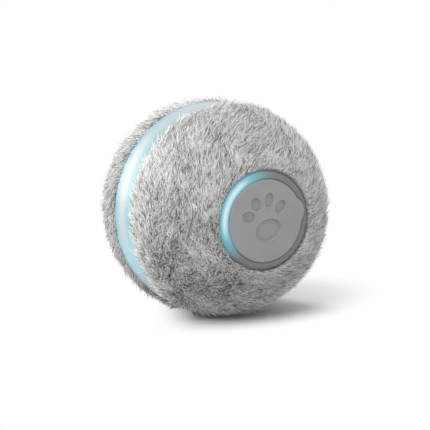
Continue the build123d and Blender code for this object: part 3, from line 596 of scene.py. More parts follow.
def band_finish(name):
    """Frosted plastic lit from behind, from the place across the band and round it."""
    material, sheet, place = start_finish(name)
    left, high, _, out = around(place)
    across = place.maths("ABSOLUTE", out)
    beside = place.maths("ABSOLUTE", left)
    cloud = noise(place, 5 * MM, 2)
    lit = towards(beside, high, band_lit_way).step(0.58, 0.9)
    hot = towards(beside, high, band_hot_way).step(0.68, 0.97)
    core = 1 - across.step(0.5 * MM, 2.2 * MM)
    crease = across.step(1.55 * MM, 1.75 * MM)
    edge = across.step(2.9 * MM, 3.1 * MM)
    face = crease.mix(paint(158, 175, 180), paint(146, 168, 175))
    plain = edge.mix(face, paint(136, 158, 165))
    # Where the glow falls, the base colour is painted paler and cyan too: painted light, not the plastic's
    # own tint.
    glow_painted_base = (core * hot).mix(paint(112, 138, 145), paint(148, 151, 151))
    glow = (core * hot).mix(paint(124, 184, 195), paint(166, 176, 176))
    close_finish(
        sheet,
        Base_Color=(lit * 0.6 + hot * 0.4).mix(plain, glow_painted_base),
        Emission_Color=(lit * (1 - high.step(0.05, 0.6) * 0.25)).mix(black, glow),
        Emission_Strength=0.58,
        Roughness=cloud * 0.1 + 0.28,
        Specular_IOR_Level=0.4,
        Normal=bump(noise(place, 0.1 * MM), 0.003 * MM),
    )
    return material


band_grid = turned(band_outline(), band_columns)
band_points = band_grid.reshape(-1, 3)
band_faces = facing_out(band_points, grid_faces(len(band_grid), band_columns, True))
band_plastic = band_finish("lit_band_plastic")
band = make_piece("lit_band", band_points, band_faces, band_plastic, "ball")
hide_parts("light_band")
print("light band:", len(band_faces), "triangles")

# %% [markdown]
# ## The soft plugs
#
# A plug is one silicone moulding: a disc with a pull tab at its side, and a skirt that grips the hub.
# Seen along the axle its edge is three arcs, the disc's, the tab's and a hollow one that touches both.
# A Boolean would cut the sunk paw with hard edges. Here the face is a fine polar grid instead, whose
# depth is a function of the distance to the paw's outline, which gives the soft edge of a moulding.

# %% Outline of the plug
disc_radius = 8.0 * MM
tab_reach = 8.77 * MM
tab_round = 2.8 * MM
tab_blend = 3.0 * MM


def edge_radius(angle, grow=0.0):
    """How far the disc and its tab reach at an angle from the tab's own direction.

    A circle whose middle is a distance d away at angle m meets the ray at
    d cos(a - m) plus or minus the root of its radius squared less (d sin(a - m)) squared. The tab's
    circle gives the far meeting point and the hollow circle beside it the near one.
    """
    angle = np.abs((angle + math.pi) % (2 * math.pi) - math.pi)
    disc, tab, hollow = disc_radius + grow, tab_round + grow, tab_blend - grow
    tab_middle = tab_reach - tab_round
    reach = disc + hollow
    hollow_angle = math.acos((reach**2 + tab_middle**2 - (tab + hollow) ** 2) / (2 * reach * tab_middle))
    hollow_at = np.array((math.cos(hollow_angle), math.sin(hollow_angle))) * reach
    touch = np.array((tab_middle, 0)) + (hollow_at - (tab_middle, 0)) * tab / (tab + hollow)
    touch_angle = math.atan2(touch[1], touch[0])
    far = tab_middle * np.cos(angle) + np.sqrt(np.maximum(tab**2 - (tab_middle * np.sin(angle)) ** 2, 0))
    off = angle - hollow_angle
    near = reach * np.cos(off) - np.sqrt(np.maximum(hollow**2 - (reach * np.sin(off)) ** 2, 0))
    return np.where(angle < touch_angle, far, np.where(angle < hollow_angle, near, disc))


print("the tab reaches", round(float(edge_radius(0.0)) / MM, 2), "mm from the axle")

# %% [markdown]
# A plain paw print is sunk in the face: a pad and four toes, all of them ellipses.

# %% Sunk paw
pad_drop = 1.75 * MM
pad_half = (2.8 * MM, 2.1 * MM)
toe_ring = 4.0 * MM
toe_half = (1.0 * MM, 1.4 * MM)
toe_angles = (-62, -21, 21, 62)  # degrees from the paw's own up


def paw_distance(x, z):
    """How far a place on the face lies outside the paw, negative inside it.

    Each ellipse is scaled to a circle of radius 1. The distance from its edge is then taken along the
    ray from its middle. The paw is the union of a pad and four toes that point away from it.
    """
    places = [(0.0, -pad_drop, *pad_half, 0.0)]
    for toe in np.radians(toe_angles):
        places.append((-math.sin(toe) * toe_ring, math.cos(toe) * toe_ring, *toe_half, toe))
    distance = np.full(x.shape, 1.0)
    for middle_x, middle_z, half_width, half_height, tilt in places:
        along = (x - middle_x) * math.cos(tilt) + (z - middle_z) * math.sin(tilt)
        over = (z - middle_z) * math.cos(tilt) - (x - middle_x) * math.sin(tilt)
        scaled = np.hypot(along / half_width, over / half_height)
        reach = np.hypot(along, over) / np.maximum(scaled, 1e-6)
        distance = np.minimum(distance, (scaled - 1) * reach)
    return distance


depth_inside = -paw_distance(np.zeros(1), np.zeros(1))[0]
print("the middle of the face lies", round(float(depth_inside) / MM, 2), "mm inside the paw's outline")

# %% [markdown]
# The plug's surface is one grid. Its rows run from the middle of the face outwards, over the rounded
# edge, back along the skirt and into its hollow.

# %% Surface of the plug
plug_turn = math.radians(12.5)
plug_face = -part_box("front_plug")[0].y
face_dome = 0.3 * MM
edge_round = 0.28 * MM
round_rows = 7
tab_thickness = 0.6 * MM
side_step = 0.02 * MM  # from the tab's root in to the disc's side
disc_under = plug_face - 1.25 * MM
stem_radius = 6.95 * MM
stem_end = -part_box("front_plug")[1].y
skirt_inner = 5.7 * MM
paw_depth = 0.42 * MM
paw_edge = 0.1 * MM
rim_height = 0.07 * MM
rim_middle = 0.13 * MM  # outside the paw's outline
rim_width = 0.1 * MM


def plug_points(columns, face_rows):
    """Rows of the front plug from the middle of its face, over its edge, to the end of its skirt.

    Each row is a closed line round the axle with a radius and a depth at each angle. The edge of the
    face is a quarter circle, the tab's underside steps in to the disc, and the skirt is hollow. A low
    rim stands round the sunk paw, as a bell curve of the distance to its outline.
    """
    angle = np.linspace(0, 2 * math.pi, columns, endpoint=False)
    edge = edge_radius(angle - plug_turn)
    disc = np.minimum(edge, disc_radius)
    rows = []
    for share in (np.arange(face_rows) + 0.5) / face_rows:
        rows.append((share * (edge - edge_round), np.full(columns, plug_face)))
    for turn in np.linspace(0, math.pi / 2, round_rows):
        depth = plug_face - edge_round * (1 - math.cos(turn))
        rows.append((edge - edge_round * (1 - math.sin(turn)), np.full(columns, depth)))
    under = plug_face - tab_thickness
    inner = disc - side_step
    stem = np.full(columns, stem_radius)
    for radius, depth in ((edge, under), (inner, under), (inner, disc_under), (stem, disc_under)):
        rows.append((radius, np.full(columns, depth)))
    for radius, depth in (
        (stem_radius, stem_end + edge_round),
        (stem_radius - edge_round, stem_end),
        (skirt_inner, stem_end),
        (skirt_inner, disc_under),
        (skirt_inner / 2, disc_under),
    ):
        rows.append((np.full(columns, radius), np.full(columns, depth)))
    radius, depth = (np.array(part) for part in zip(*rows))
    x, z = radius * np.cos(angle), radius * np.sin(angle)
    on_face = np.arange(len(rows))[:, None] < face_rows
    upright_x = x * math.cos(plug_turn) + z * math.sin(plug_turn)
    upright_z = z * math.cos(plug_turn) - x * math.sin(plug_turn)
    from_paw = paw_distance(upright_x, upright_z)
    sunk = 1 - smooth_rise(from_paw, -paw_edge, paw_edge / 2)
    rim = np.exp(-(((from_paw - rim_middle) / rim_width) ** 2))
    dome = 1 - (radius / disc_radius) ** 2
    depth = depth + on_face * (rim * rim_height - sunk * paw_depth + np.maximum(dome, 0) * face_dome)
    return np.stack([x, -depth, z], -1)


def half_turn(points):
    """The same points after half a turn about the upright axis: x and y change their signs."""
    return points * (-1, -1, 1)


print("the disc's face stands", round(plug_face / MM, 2), "mm from the middle of the ball")

# %% [markdown]
# The plug's finish is a matt grey silicone. Silicone picks up dust, so it has a pale bloom with a few
# specks, and a very fine grain keeps the light on it soft.

# %% Plugs
silicone_colour = colour(150, 152, 154)


def silicone(name):
    """Matt silicone with a bloom, and a fine grain in its surface."""
    material, sheet, place = start_finish(name)
    cloud = noise(place, 6 * MM, 4, 0.55)
    grain = noise(place, 0.11 * MM, 2)
    dust = noise(place, 0.35 * MM, 1).step(0.66, 0.8)
    rgb = opaque(silicone_colour)
    pale = opaque(tuple(min(part * 1.12, 1) for part in silicone_colour))
    shade = (cloud.step(0.3, 0.7) * 0.6 + dust * 0.25).mix(rgb, pale)
    close_finish(
        sheet,
        Base_Color=shade,
        Roughness=grain * 0.1 + 0.6,
        Specular_IOR_Level=0.3,
        Normal=bump(grain, 0.006 * MM, 0.7),
    )
    return material


plug_columns = 440
plug_face_rows = 138
front_points = plug_points(plug_columns, plug_face_rows)
plug_rows = len(front_points)
poles = [(0, front_points[0, :, 1].mean(), 0), (0, front_points[-1, 0, 1], 0)]
plug_cloud = np.concatenate([front_points.reshape(-1, 3), poles])
last_row = (plug_rows - 1) * plug_columns
plug_faces = np.concatenate(
    [
        grid_faces(plug_rows, plug_columns, False),
        pole_faces(0, plug_columns, len(plug_cloud) - 2)[:, ::-1],
        pole_faces(last_row, plug_columns, len(plug_cloud) - 1),
    ]
)
plug_finish = silicone("plug_silicone")
for end, points in (("front", plug_cloud), ("back", half_turn(plug_cloud))):
    faces = facing_out(points, plug_faces)
    plug = make_piece(end + "_soft_plug", points, faces, plug_finish, end + "_plug")
    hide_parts(end + "_plug")
print("plugs:", len(plug_faces), "triangles each")

# %% [markdown]
# ## The glow rings
#
# Each plug lies in a clear ring with a rounded bevel. The ring passes the light of the lamps inside:
# from the side of the lamps it is nearly white, then cyan, and round the other side it is a smoky grey
# with a faint painted glow. It is turned from its section and lowered where the plug's tab lies over it.

# %% Glow rings
ring_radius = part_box("front_glow_ring")[1].x
ring_top = -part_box("front_glow_ring")[0].y
ring_foot = ring_top - 1.45 * MM
ring_side_top = ring_foot + 0.65 * MM
ring_mouth = 8.04 * MM
ring_lip = ring_mouth + 0.05 * MM
ring_end = -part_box("front_glow_ring")[1].y
ring_spigot = 0.4 * MM  # half of the thickness of the sleeve behind the ring
ring_spacing = 0.16 * MM
ring_columns = 560
bevel_bulge = 0.17  # in parts of the bevel's width
bevel_slant = 0.7
bevel_steps = 28
notch_gap = 0.1 * MM
notch_soft = 0.03 * MM
glow_radius = 8.84 * MM
ring_lit_way = (0.914, 0.407)  # to the left and up


def ring_outline():
    """The ring's section: its side, the bevel, the lip and the spigot.

    The bevel is a straight slope pushed outwards by half a sine wave.
    """
    share = np.linspace(0, 1, bevel_steps)
    bulge = bevel_bulge * (ring_radius - ring_lip) * np.sin(share * math.pi) * bevel_slant
    bevel_radius = ring_radius + (ring_lip - ring_radius) * share + bulge
    bevel_out = ring_side_top + (ring_top - ring_side_top) * share + bulge
    bevel = np.stack([bevel_out, np.minimum(bevel_radius, ring_radius)], -1)
    rest = [
        (ring_top, ring_mouth),
        (disc_under - notch_gap, ring_mouth),
        (disc_under - notch_gap, ring_mouth - ring_spigot),
        (ring_end, ring_mouth - ring_spigot),
        (ring_end, ring_mouth + ring_spigot),
        (ring_foot, ring_mouth + ring_spigot),
        (ring_foot, ring_radius),
    ]
    return resample(np.concatenate([bevel, rest]), ring_spacing)


def ring_points():
    """The front ring, lowered to a notch where the outline of the tab, grown a little, lies over it."""
    points = turned(ring_outline() * (-1, 1), ring_columns)
    radius = np.hypot(points[..., 0], points[..., 2])
    angle = np.arctan2(points[..., 2], points[..., 0])
    inside = edge_radius(angle - plug_turn, notch_gap) - radius
    notch_floor = plug_face - tab_thickness - notch_gap
    lowered = smooth_rise(inside, -notch_soft, notch_soft) * (radius > ring_mouth)
    out = -points[..., 1]
    points[..., 1] = -(out + (np.minimum(out, notch_floor) - out) * lowered)
    return points


def ring_finish(name, side):
    """Smoky clear plastic that glows on one side. side is -1 in front and 1 at the back."""
    material, sheet, place = start_finish(name)
    left, high, radius, _ = around(place, side)
    cloud = noise(place, 4 * MM, 2)
    to_lamps = towards(left, high, ring_lit_way)
    lit = to_lamps.step(0.1, 0.92)
    hot = to_lamps.step(0.68, 0.94)
    off_middle = place.maths("ABSOLUTE", radius - glow_radius)
    core = (1 - off_middle.step(0.05 * MM, 0.66 * MM)) * hot
    plain = cloud.mix(paint(104, 106, 106), paint(114, 116, 116))
    # On the side of the lamps the base colour is painted cyan as well: painted light.
    glow_painted_base = paint(112, 154, 166)
    glow = core.mix(paint(94, 182, 204), paint(255, 254, 250))
    close_finish(
        sheet,
        Base_Color=lit.mix(plain, glow_painted_base),
        # Round the other side a faint grey glow remains: painted light that stands in for light scattered
        # through the plastic and lifts its shade.
        Emission_Color=(lit**1.6).mix(paint(72, 73, 73), glow),
        Emission_Strength=0.5,
        Roughness=cloud * 0.1 + 0.25,
        Specular_IOR_Level=0.4,
        Normal=bump(noise(place, 0.1 * MM), 0.003 * MM),
    )
    return material


front_ring = ring_points()
for end, side, points in (("front", -1, front_ring), ("back", 1, half_turn(front_ring))):
    flat = points.reshape(-1, 3)
    faces = facing_out(flat, grid_faces(len(points), ring_columns, True))
    finish = ring_finish(end + "_ring_plastic", side)
    ring = make_piece(end + "_lit_ring", flat, faces, finish, "ball")
    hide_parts(end + "_glow_ring")
print("glow rings:", len(faces), "triangles each")

# %% [markdown]
# ## The plush
#
# The covers are what the eye rests on: a long grey pile with darker streaks, combed one way. A hair
# system would be the usual way, but hairs aren't a mesh and can't be kept with the part. So each
# strand is modelled: a closed tube with three sides that bends once and ends in a tip, ten triangles
# in all. The roots follow a spiral that spaces points evenly on a sphere.
#
# What makes a pile look real is that neighbours agree. The direction, the height and the tone of the
# strands come from smooth fields, which are sums of waves with random directions, and the slope of
# one such field pulls the tips together into small tufts.

# %% Smooth random fields
half_shift = 1.55 * MM  # of each half's own centre from the middle of the ball
pile_radius = 20.8 * MM  # from that centre
cover_edge = 3.3 * MM  # from the middle of the ball
mouth_radius = 9.75 * MM  # of the cover's hole for the glow ring


def wave_field(seed, size, waves=24):
    """The wave vectors and the phases of waves whose length is about size."""
    random = np.random.default_rng(seed)
    direction = random.normal(size=(waves, 3))
    direction /= np.linalg.norm(direction, axis=1)[:, None]
    length = size * random.uniform(0.7, 1.5, waves)
    return direction * (2 * math.pi / length)[:, None], random.uniform(0, 2 * math.pi, waves)


def field_value(field, points):
    """The sum of the waves at each point, scaled so that it spreads by about 1."""
    wave, phase = field
    return np.sin(points @ wave.T + phase).sum(1) * math.sqrt(2 / len(phase))


def field_slope(field, points):
    """The direction and rate in which that sum rises, from the cosine of each wave."""
    wave, phase = field
    return (np.cos(points @ wave.T + phase) @ wave) * math.sqrt(2 / len(phase))


sample = np.random.default_rng(2).normal(size=(999, 3))
sample_spread = field_value(wave_field(1, 5 * MM), sample).std()
print("a field spreads by", round(float(sample_spread), 2))

# %% [markdown]
# Under the strands lies an undercoat: the knitted backing with the dense short wool on it. Only
# glimpses of it show, in the partings, so it is a plain closed sheet with small tufts, dark mottling
# and painted shade between the tufts.

# %% Undercoat
undercoat_radius = pile_radius - 0.8 * MM
backing_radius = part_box("front_shell")[1].x + 0.05 * MM
backing_rows = 12
wool_field = wave_field(11, 0.9 * MM, 40)
wool_height = 0.09 * MM


def half_arc(radius, rows):
    """An arc of one half's section, from the mouth of the cover to its edge at the band.

    Out and radius are the arc's radius times the cosine and the sine of its bend, from the half's
    own centre. The bend starts where that sine gives the mouth and ends where the cosine gives the edge.
    """
    first = math.asin(mouth_radius / radius)
    last = math.acos((cover_edge - half_shift) / radius)
    bend = np.linspace(first, last, rows)
    return np.stack([half_shift + radius * np.cos(bend), radius * np.sin(bend)], -1)


def undercoat_points(side, columns=240, rows=60):
    """One half's undercoat: an outer arc from the glow ring to the band, and the backing inside it.

    The outer points stand off by the wool field, which fades out at both edges.
    """
    outer = half_arc(undercoat_radius, rows)
    inner = half_arc(backing_radius, backing_rows)[::-1]
    points = turned(np.concatenate([outer, inner]) * (side, 1), columns)
    flat = points[:rows].reshape(-1, 3)
    normal = flat - (0, side * half_shift, 0)
    normal /= np.linalg.norm(normal, axis=1)[:, None]
    fade = np.repeat(np.sin(np.linspace(0, math.pi, rows)) ** 0.3, columns)
    flat = flat + normal * (field_value(wool_field, flat) * fade * wool_height)[:, None]
    points[:rows] = flat.reshape(rows, columns, 3)
    return points


def undercoat_finish(name):
    """Short dense wool: dull and mottled, with painted shade between its tufts."""
    material, sheet, place = start_finish(name)
    painted_tuft_shade = noise(place, 0.7 * MM, 3, 0.6)
    patch = noise(place, 5 * MM, 2)
    # The tuft noise paints shade between the tufts, and the patch noise mottles the tone.
    tone = painted_tuft_shade * 0.6 + patch * 0.4
    shade = tone.step(0.3, 0.7).mix(paint(124, 122, 120), paint(196, 195, 192))
    close_finish(
        sheet,
        Base_Color=shade,
        Roughness=0.95,
        Specular_IOR_Level=0.1,
        Normal=bump(noise(place, 0.25 * MM, 3), 0.12 * MM),
    )
    return material


wool = undercoat_finish("undercoat_wool")
for end, side in (("front", -1), ("back", 1)):
    points = undercoat_points(side)
    flat = points.reshape(-1, 3)
    faces = facing_out(flat, grid_faces(len(points), points.shape[1], True))
    undercoat = make_piece(end + "_undercoat", flat, faces, wool, "ball")
    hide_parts(end + "_fur_cover")
print("undercoats:", len(faces), "triangles each")

# %% [markdown]
# Now the strands, first their roots and the way they lie. A cover is sewn from cloth whose nap runs
# one way, up and to the right on the charging half and the other way on the other half, so a strand
# lies along that one direction as far as the dome lets it. Fields and chance turn it a little.

# %% Roots and nap
root_radius = pile_radius - 0.95 * MM
golden_angle = math.pi * (3 - math.sqrt(5))
nap_angle = math.radians(65)
swirl_field = wave_field(21, 14 * MM)
lock_field = wave_field(22, 2.6 * MM, 40)
field_turn = 0.22  # radians for each of the two fields
chance_turn = 0.34
edge_turn = 0.9  # how far the pile beside the band turns along its edge


def unit(vectors):
    """The vectors made one long."""
    return vectors / np.linalg.norm(vectors, axis=1)[:, None]


def across_normal(vectors, normal):
    """The part of each vector that lies in the surface."""
    return vectors - normal * np.einsum("ij,ij->i", vectors, normal)[:, None]


def strand_roots(side, count, random):
    """Roots on one half's own sphere.

    Equal steps along the axle cut a sphere into equal areas, and the golden angle between one root and
    the next spreads them round the axle. A little jitter hides the spiral.
    """
    low = (cover_edge - half_shift) / root_radius
    high = math.sqrt(1 - (mouth_radius / root_radius) ** 2)
    step = (high - low) / count
    share = low + (np.arange(count) + random.uniform(0, 1, count)) * step
    angle = np.arange(count) * golden_angle + random.normal(0, 0.006, count)
    across = np.sqrt(1 - share**2)
    normal = np.stack([across * np.cos(angle), side * share, across * np.sin(angle)], -1)
    return normal * root_radius + (0, side * half_shift, 0), normal


def comb(side, roots, normal, random):
    """The way each strand lies, in the surface.

    The nap of the flat cloth is laid on the dome: its part across the normal, made one long. At the
    cut edge beside the band it runs along the edge. Two smooth fields and some chance turn it.
    """
    nap = np.array((math.cos(nap_angle), 0, math.sin(nap_angle))) * -side
    lay = unit(across_normal(np.broadcast_to(nap, normal.shape), normal))
    at_band = 1 - smooth_rise(np.abs(roots[:, 1]) - cover_edge, 0.5 * MM, 3.5 * MM)
    to_band = unit(across_normal(np.broadcast_to((0, -side, 0), normal.shape), normal))
    lay = unit(lay - edge_turn * at_band[:, None] * to_band * np.sum(lay * to_band, axis=1, keepdims=True))
    turn = (
        field_turn * field_value(swirl_field, roots)
        + field_turn * field_value(lock_field, roots)
        + random.normal(0, chance_turn, len(roots))
    )
    return lay * np.cos(turn)[:, None] + np.cross(normal, lay) * np.sin(turn)[:, None]


print("the nap rises", round(math.degrees(nap_angle)), "degrees from level")

# %% [markdown]
# A pile of one grey looks like felt. The tone of a strand is one number from dark to pale, and here
# it varies in broad patches, in thin streaks and from strand to strand. Beside the band and the rings,
# and where the pile is clipped, it is painted paler: painted light from their glow and against the
# rings' shadow. Right at the band's edge it is darker, and one strand in five is darker than the rest.

# %% Tone of the strands
patch_field = wave_field(24, 7 * MM)
streak_field = wave_field(25, 0.32 * MM, 64)
middle_tone = 0.7
tone_spread = 0.16
dark_share = 0.2


def strand_tone(roots, clipped, random):
    """The tone of each strand from 0, dark, to 1, pale: patches, streaks and single dark strands."""
    painted_band_light = 1 - smooth_rise(np.abs(roots[:, 1]) - cover_edge, 0, 6 * MM)
    at_edge = 1 - smooth_rise(np.abs(roots[:, 1]) - cover_edge, 0, 1.2 * MM)
    painted_ring_light = 1 - smooth_rise(np.hypot(roots[:, 0], roots[:, 2]) - mouth_radius, 0, 2.5 * MM)
    # Beside the band and the rings, and where clipped, the tone is painted paler: painted light from their
    # glow and against the shade at the rings.
    tone = (
        middle_tone
        + 0.12 * painted_band_light
        - 0.22 * at_edge
        + 0.08 * painted_ring_light
        + 0.07 * field_value(patch_field, roots)
        + 0.1 * field_value(streak_field, roots)
        + random.normal(0, tone_spread, len(roots))
        + 0.15 * clipped
    )
    dark = random.uniform(0, 1, len(roots)) < dark_share
    tone -= dark * random.uniform(0.2, 0.7, len(roots))
    return np.clip(tone, 0.03, 0.97)


print("a strand's own tone spreads by", tone_spread, "round", middle_tone)

# %% [markdown]
# The shape of a strand comes next. Near the band and the rings the pile is clipped short and stands
# up more steeply, but under the ball it hangs over the cover's edge. A long strand bends once.

# %% Lines of the strands
tuft_field = wave_field(23, 0.75 * MM, 48)
tuft_pull = 0.012 * MM * MM  # times the slope of the tuft field
edge_hang = 1.3 * MM
shortest = 0.5 * MM
clipped_length = 0.22  # in parts of a strand's full length
long_share = 0.08
long_extra = 0.5 * MM
middle_rise = 0.48  # radians from the surface
half_bend = 0.2


def strand_lines(side, count, seed, length, spread):
    """Root, bend and tip of each strand, and its tone.

    The strand rises steeply at first and leans over at its bend. The slope of the tuft field moves
    the bend a little and the tip more, so that tips meet where that field is highest.
    """
    random = np.random.default_rng(seed)
    roots, normal = strand_roots(side, count, random)
    lay = comb(side, roots, normal, random)
    to_band = np.abs(roots[:, 1]) - cover_edge
    to_mouth = np.hypot(roots[:, 0], roots[:, 2]) - mouth_radius
    hang = edge_hang * smooth_rise(-normal[:, 2], 0.6, 0.9)
    full = smooth_rise(to_band + hang, -0.9 * MM, 1.6 * MM) * smooth_rise(to_mouth, -1.0 * MM, 1.7 * MM)
    reach = length + 0.14 * MM * field_value(lock_field, roots) + random.normal(0, spread, count)
    reach += (random.uniform(0, 1, count) < long_share) * long_extra
    reach = np.maximum(reach, shortest) * (clipped_length + (1 - clipped_length) * full)
    rise = middle_rise + 0.05 * field_value(lock_field, roots[:, [2, 0, 1]]) + random.normal(0, 0.17, count)
    rise += 0.5 * (1 - smooth_rise(to_mouth, 0.2 * MM, 2.5 * MM))
    rise += 0.25 * (1 - smooth_rise(to_band, 0.5 * MM, 3 * MM))
    first = np.clip(rise + half_bend, 0.15, 1.5)[:, None]
    second = np.clip(rise - half_bend, 0.0, 1.4)[:, None]
    half = (reach / 2)[:, None]
    pull = across_normal(field_slope(tuft_field, roots), normal) * tuft_pull * full[:, None]
    bend = roots + half * (np.cos(first) * lay + np.sin(first) * normal) + pull * 0.4
    tip = bend + half * (np.cos(second) * lay + np.sin(second) * normal) + pull
    return np.stack([roots, bend, tip]), normal, strand_tone(roots, 1 - full, random)


print("a strand leaves the surface at about", round(math.degrees(middle_rise + half_bend)), "degrees")

# %% [markdown]
# Each line gets a thin tube round it. The tone is stored in the UV map: across the map goes the tone
# from dark to pale, and up the map goes the way from root to tip. What would reach below the floor
# is pressed flat on it.

# %% Tubes of the strands
strand_radius = (0.084 * MM, 0.076 * MM)  # at the root and at the bend
floor_height = built_box[0].z
floor_gap = 0.02 * MM
tone_width = 0.012  # half of a strand's width on the UV map
map_margin = 0.02


def strand_mesh(lines, normal, tone):
    """Closed tubes round the lines, with three sides and a tip.

    At each place but the last, three points stand round the line, a third of a turn apart. The
    pattern of the triangles is the same for each strand, so it is written once and shifted by the
    number of points. Returns the points, the triangles and the UV of each triangle's corners.
    """
    places, count = lines.shape[:2]
    along = unit(lines[-1] - lines[0])
    sideways = unit(np.cross(along, normal))
    over = np.cross(sideways, along)
    corners = 2 * math.pi * np.arange(3) / 3
    ring = np.cos(corners)[:, None, None] * sideways + np.sin(corners)[:, None, None] * over
    tube = [lines[place] + ring * strand_radius[place] for place in range(places - 1)]
    points = np.concatenate(tube + [lines[-1:]]).transpose(1, 0, 2)
    points[..., 2] = np.maximum(points[..., 2], floor_height + floor_gap)
    # The triangles of one strand, and how far each of their corners lies across and up its map.
    pattern, spread, height = [(0, 2, 1)], [(-1, 1, 0)], [(0, 0, 0.06)]
    last = 3 * (places - 2)
    for corner in range(3):
        after = (corner + 1) % 3
        if last:
            pattern += [(corner, after, 3 + after), (corner, 3 + after, 3 + corner)]
            spread += [(-1, 1, 1), (-1, 1, -1)]
            height += [(0, 0, 0.5), (0, 0.5, 0.5)]
        pattern += [(last + corner, last + after, last + 3)]
        spread += [(-1, 1, 0)]
        height += [(last / 6, last / 6, 1)]
    faces = (np.arange(count) * (last + 4))[:, None, None] + np.array(pattern)
    u = tone[:, None, None] + np.array(spread) * tone_width
    v = map_margin + (1 - 2 * map_margin) * np.broadcast_to(np.array(height), (count, len(height), 3))
    return points.reshape(-1, 3), faces.reshape(-1, 3), np.stack([u, v], -1).reshape(-1, 2)


print("strands are", round(2 * strand_radius[0] / MM, 2), "mm thick at the root")

# %% [markdown]
# The finish reads the tone and the way up the strand back from the map. Long bent strands make the
# pile, and between them stand as many short straight ones, the down, which cost fewer triangles.

# %% Pile and down


def strand_finish(name):
    """Pile of mixed strands: tone across the UV map, darker at the root and paler towards the tip."""
    material, sheet, _ = start_finish(name)
    map_place = sheet.node("ShaderNodeUVMap", {"uv_map": "OFBake"})
    tone = sheet.node("ShaderNodeSeparateXYZ", {}, {"Vector": map_place}, "X")
    up_strand = sheet.node("ShaderNodeSeparateXYZ", {}, {"Vector": map_place}, "Y")
    stops = [
        (0.0, colour(104, 102, 100)),
        (0.3, colour(170, 168, 165)),
        (0.6, colour(236, 235, 232)),
        (1.0, colour(252, 252, 250)),
    ]
    tone_colour = sheet.node("ShaderNodeValToRGB", {"stops": stops}, {"Fac": tone})
    root = up_strand.step(0.0, 0.7) * 0.25 + 0.75
    close_finish(
        sheet,
        Base_Color=root.mix(black, tone_colour),
        Roughness=0.62,
        Specular_IOR_Level=0.25,
    )
    return material


pile = strand_finish("combed_pile")
strand_count = 46000  # of each kind on each half
# Each kind's name, pieces, length, spread of length, and places along a line.
kinds = [("pile", 3, 2.3 * MM, 0.4 * MM, 3), ("down", 1, 1.9 * MM, 0.3 * MM, 2)]
for half, (end, side) in enumerate((("front", -1), ("back", 1))):
    for kind, parts, length, spread, places in kinds:
        seed = 31 + 2 * half + places
        lines, normal, tone = strand_lines(side, strand_count, seed, length, spread)
        lines = lines[[0, 1, 2] if places == 3 else [0, 2]]
        for part in range(parts):
            chosen = slice(part, None, parts)
            points, faces, corners = strand_mesh(lines[:, chosen], normal[chosen], tone[chosen])
            piece = make_piece(f"{end}_{kind}_{part + 1}", points, faces, pile, "ball")
            uv_map = piece.data.uv_layers.new(name="OFBake")
            uv_map.data.foreach_set("uv", corners.astype(np.float32).ravel())
            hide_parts(end + "_fur_cover")
        print(end, kind, "of", strand_count, "strands in", parts, "pieces of", len(faces), "triangles")

# %% [markdown]
# ## Floor, light and background
#
# A catalogue picture has a white floor that runs into a white background, and keeps only the ball's
# shadow. The floor here is a plain pale disc. Outside an ellipse round the shadow, and to the left of
# the ball, its material goes over to a white glow, and towards the shadow's far end it does so by a
# third. Only camera, mirror and glass rays see that glow, so it adds no light to the ball.

# %% Floor
level_back = np.array((back[0], back[1], 0)) / math.hypot(back[0], back[1])
shadow_way = 0.64 * right - 0.77 * level_back  # to the right and away from the camera
shadow_middle = 9 * MM  # from the ball, along the shadow
shadow_reach = 30 * MM
shadow_breadth = 19 * MM


def smooth_disc(radius, rings=32, columns=128):
    """A flat disc: a centre and rings of points whose radii grow as a square."""
    share = np.linspace(0, 1, rings + 1)[1:] ** 2
    angle = np.linspace(0, 2 * math.pi, columns, endpoint=False)
    x = radius * share[:, None] * np.cos(angle)
    y = radius * share[:, None] * np.sin(angle)
    points = np.stack([x, y, np.zeros_like(x)], -1).reshape(-1, 3)
    points = np.concatenate([points, [(0, 0, 0)]])
    fan = pole_faces(0, columns, len(points) - 1)[:, ::-1]
    faces = np.concatenate([grid_faces(rings, columns, False), fan])
    return points, faces[:, ::-1]


def eye_rays(sheet):
    """1 for the rays of the camera, a mirror or glass, and 0 for those that light a matt surface."""
    names = ("Is Camera Ray", "Is Glossy Ray", "Is Transmission Ray")
    camera_ray, mirror_ray, glass_ray = (sheet.node("ShaderNodeLightPath", output=name) for name in names)
    return sheet.maths("MAXIMUM", sheet.maths("MAXIMUM", camera_ray, mirror_ray), glass_ray)


def floor_finish(name):
    """Pale floor that fades to plain white light for the camera, away from the ball's shadow.

    along and across are the place in the shadow's own ellipse, in parts of its half axes.
    """
    material, sheet, place = start_finish(name)
    x = place.node("ShaderNodeSeparateXYZ", {}, {"Vector": place}, "X")
    y = place.node("ShaderNodeSeparateXYZ", {}, {"Vector": place}, "Y")
    way_x, way_y = float(shadow_way[0]), float(shadow_way[1])
    along = (x * way_x + y * way_y - shadow_middle) / shadow_reach
    across = (y * way_x - x * way_y) / shadow_breadth
    outside = ((along * along + across * across) ** 0.5).step(0.6, 1.25)
    to_left = (0 - x * float(right[0]) - y * float(right[1])).step(2 * MM, 12.5 * MM)
    far_end = along.step(0.12, 0.36) * 0.36
    far = 1 - (1 - outside) * (1 - to_left) * (1 - far_end)
    seen = eye_rays(sheet)
    grey = seen.mix(paint(205, 205, 205), paint(208, 208, 208))
    plain = sheet.node("ShaderNodeBsdfDiffuse", {}, {"Color": grey})
    glow = sheet.node("ShaderNodeEmission", {}, {"Color": white, "Strength": 1.0})
    shader = sheet.node("ShaderNodeMixShader", {}, {0: far * seen, 1: plain, 2: glow})
    sheet.node("ShaderNodeOutputMaterial", {}, {"Surface": shader})
    return material


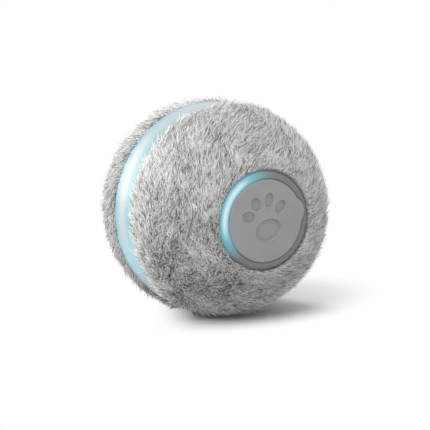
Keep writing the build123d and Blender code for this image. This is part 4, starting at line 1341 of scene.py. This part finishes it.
floor_points, floor_faces = smooth_disc(3.0)
floor_mesh = bpy.data.meshes.new("floor")
floor_mesh.from_pydata(floor_points + (0, 0, floor_height), [], floor_faces.tolist())
floor_mesh.materials.append(floor_finish("white_floor"))
floor = bpy.data.objects.new("floor", floor_mesh)
bpy.context.scene.collection.objects.link(floor)
print("floor:", len(floor_faces), "triangles")

# %% [markdown]
# The lamps are large and near, so their light is soft. The key light stands at the left, above and in
# front. A second lamp lights the far half from behind at the left, and a weaker one hangs overhead.

# %% Lamps
lamp_distance = 0.55


def area_light(name, way, size, brightness):
    """A square lamp that faces the ball. way is (right, plumb up, nearer), as the camera sees it.

    brightness is what a white surface that faces the lamp shows. A lamp of power P at distance d makes
    it P divided by (pi d) squared, so the power is the brightness times (pi d) squared.
    """
    lamp = bpy.data.lights.new(name, "AREA")
    lamp.size = size
    lamp.energy = brightness * (math.pi * lamp_distance) ** 2
    direction = right * way[0] + np.array((0, 0, 1)) * way[1] + level_back * way[2]
    facing = direction / np.linalg.norm(direction)
    sideways = np.cross((0, 0, 1), facing)
    sideways /= np.linalg.norm(sideways)
    stand = bpy.data.objects.new(name, lamp)
    stand.matrix_world = standing(sideways, np.cross(facing, sideways), facing, facing * lamp_distance)
    bpy.context.scene.collection.objects.link(stand)
    print(name, "gives", round(lamp.energy, 2), "watts")


area_light("key_light", (-0.85, 0.65, 0.55), 0.5, 0.55)
area_light("side_light", (-1.0, 0.1, -0.8), 0.4, 0.65)
area_light("top_light", (-0.25, 1.4, 0.15), 0.5, 0.32)

# %% [markdown]
# The rest of the light comes from all round, as in a white room. What the camera, a mirror or glass
# sees of that room is plain white.

# %% Room
room_light = 0.82
world = bpy.data.worlds.new("white_room")
bpy.context.scene.world = world
world.use_nodes = True
world.node_tree.nodes.clear()
room = Tint(world.node_tree)
strength = eye_rays(room) * (1 - room_light) + room_light
air = room.node("ShaderNodeBackground", {}, {"Color": white, "Strength": strength})
room.node("ShaderNodeOutputWorld", {}, {"Surface": air})
print("room light:", room_light)
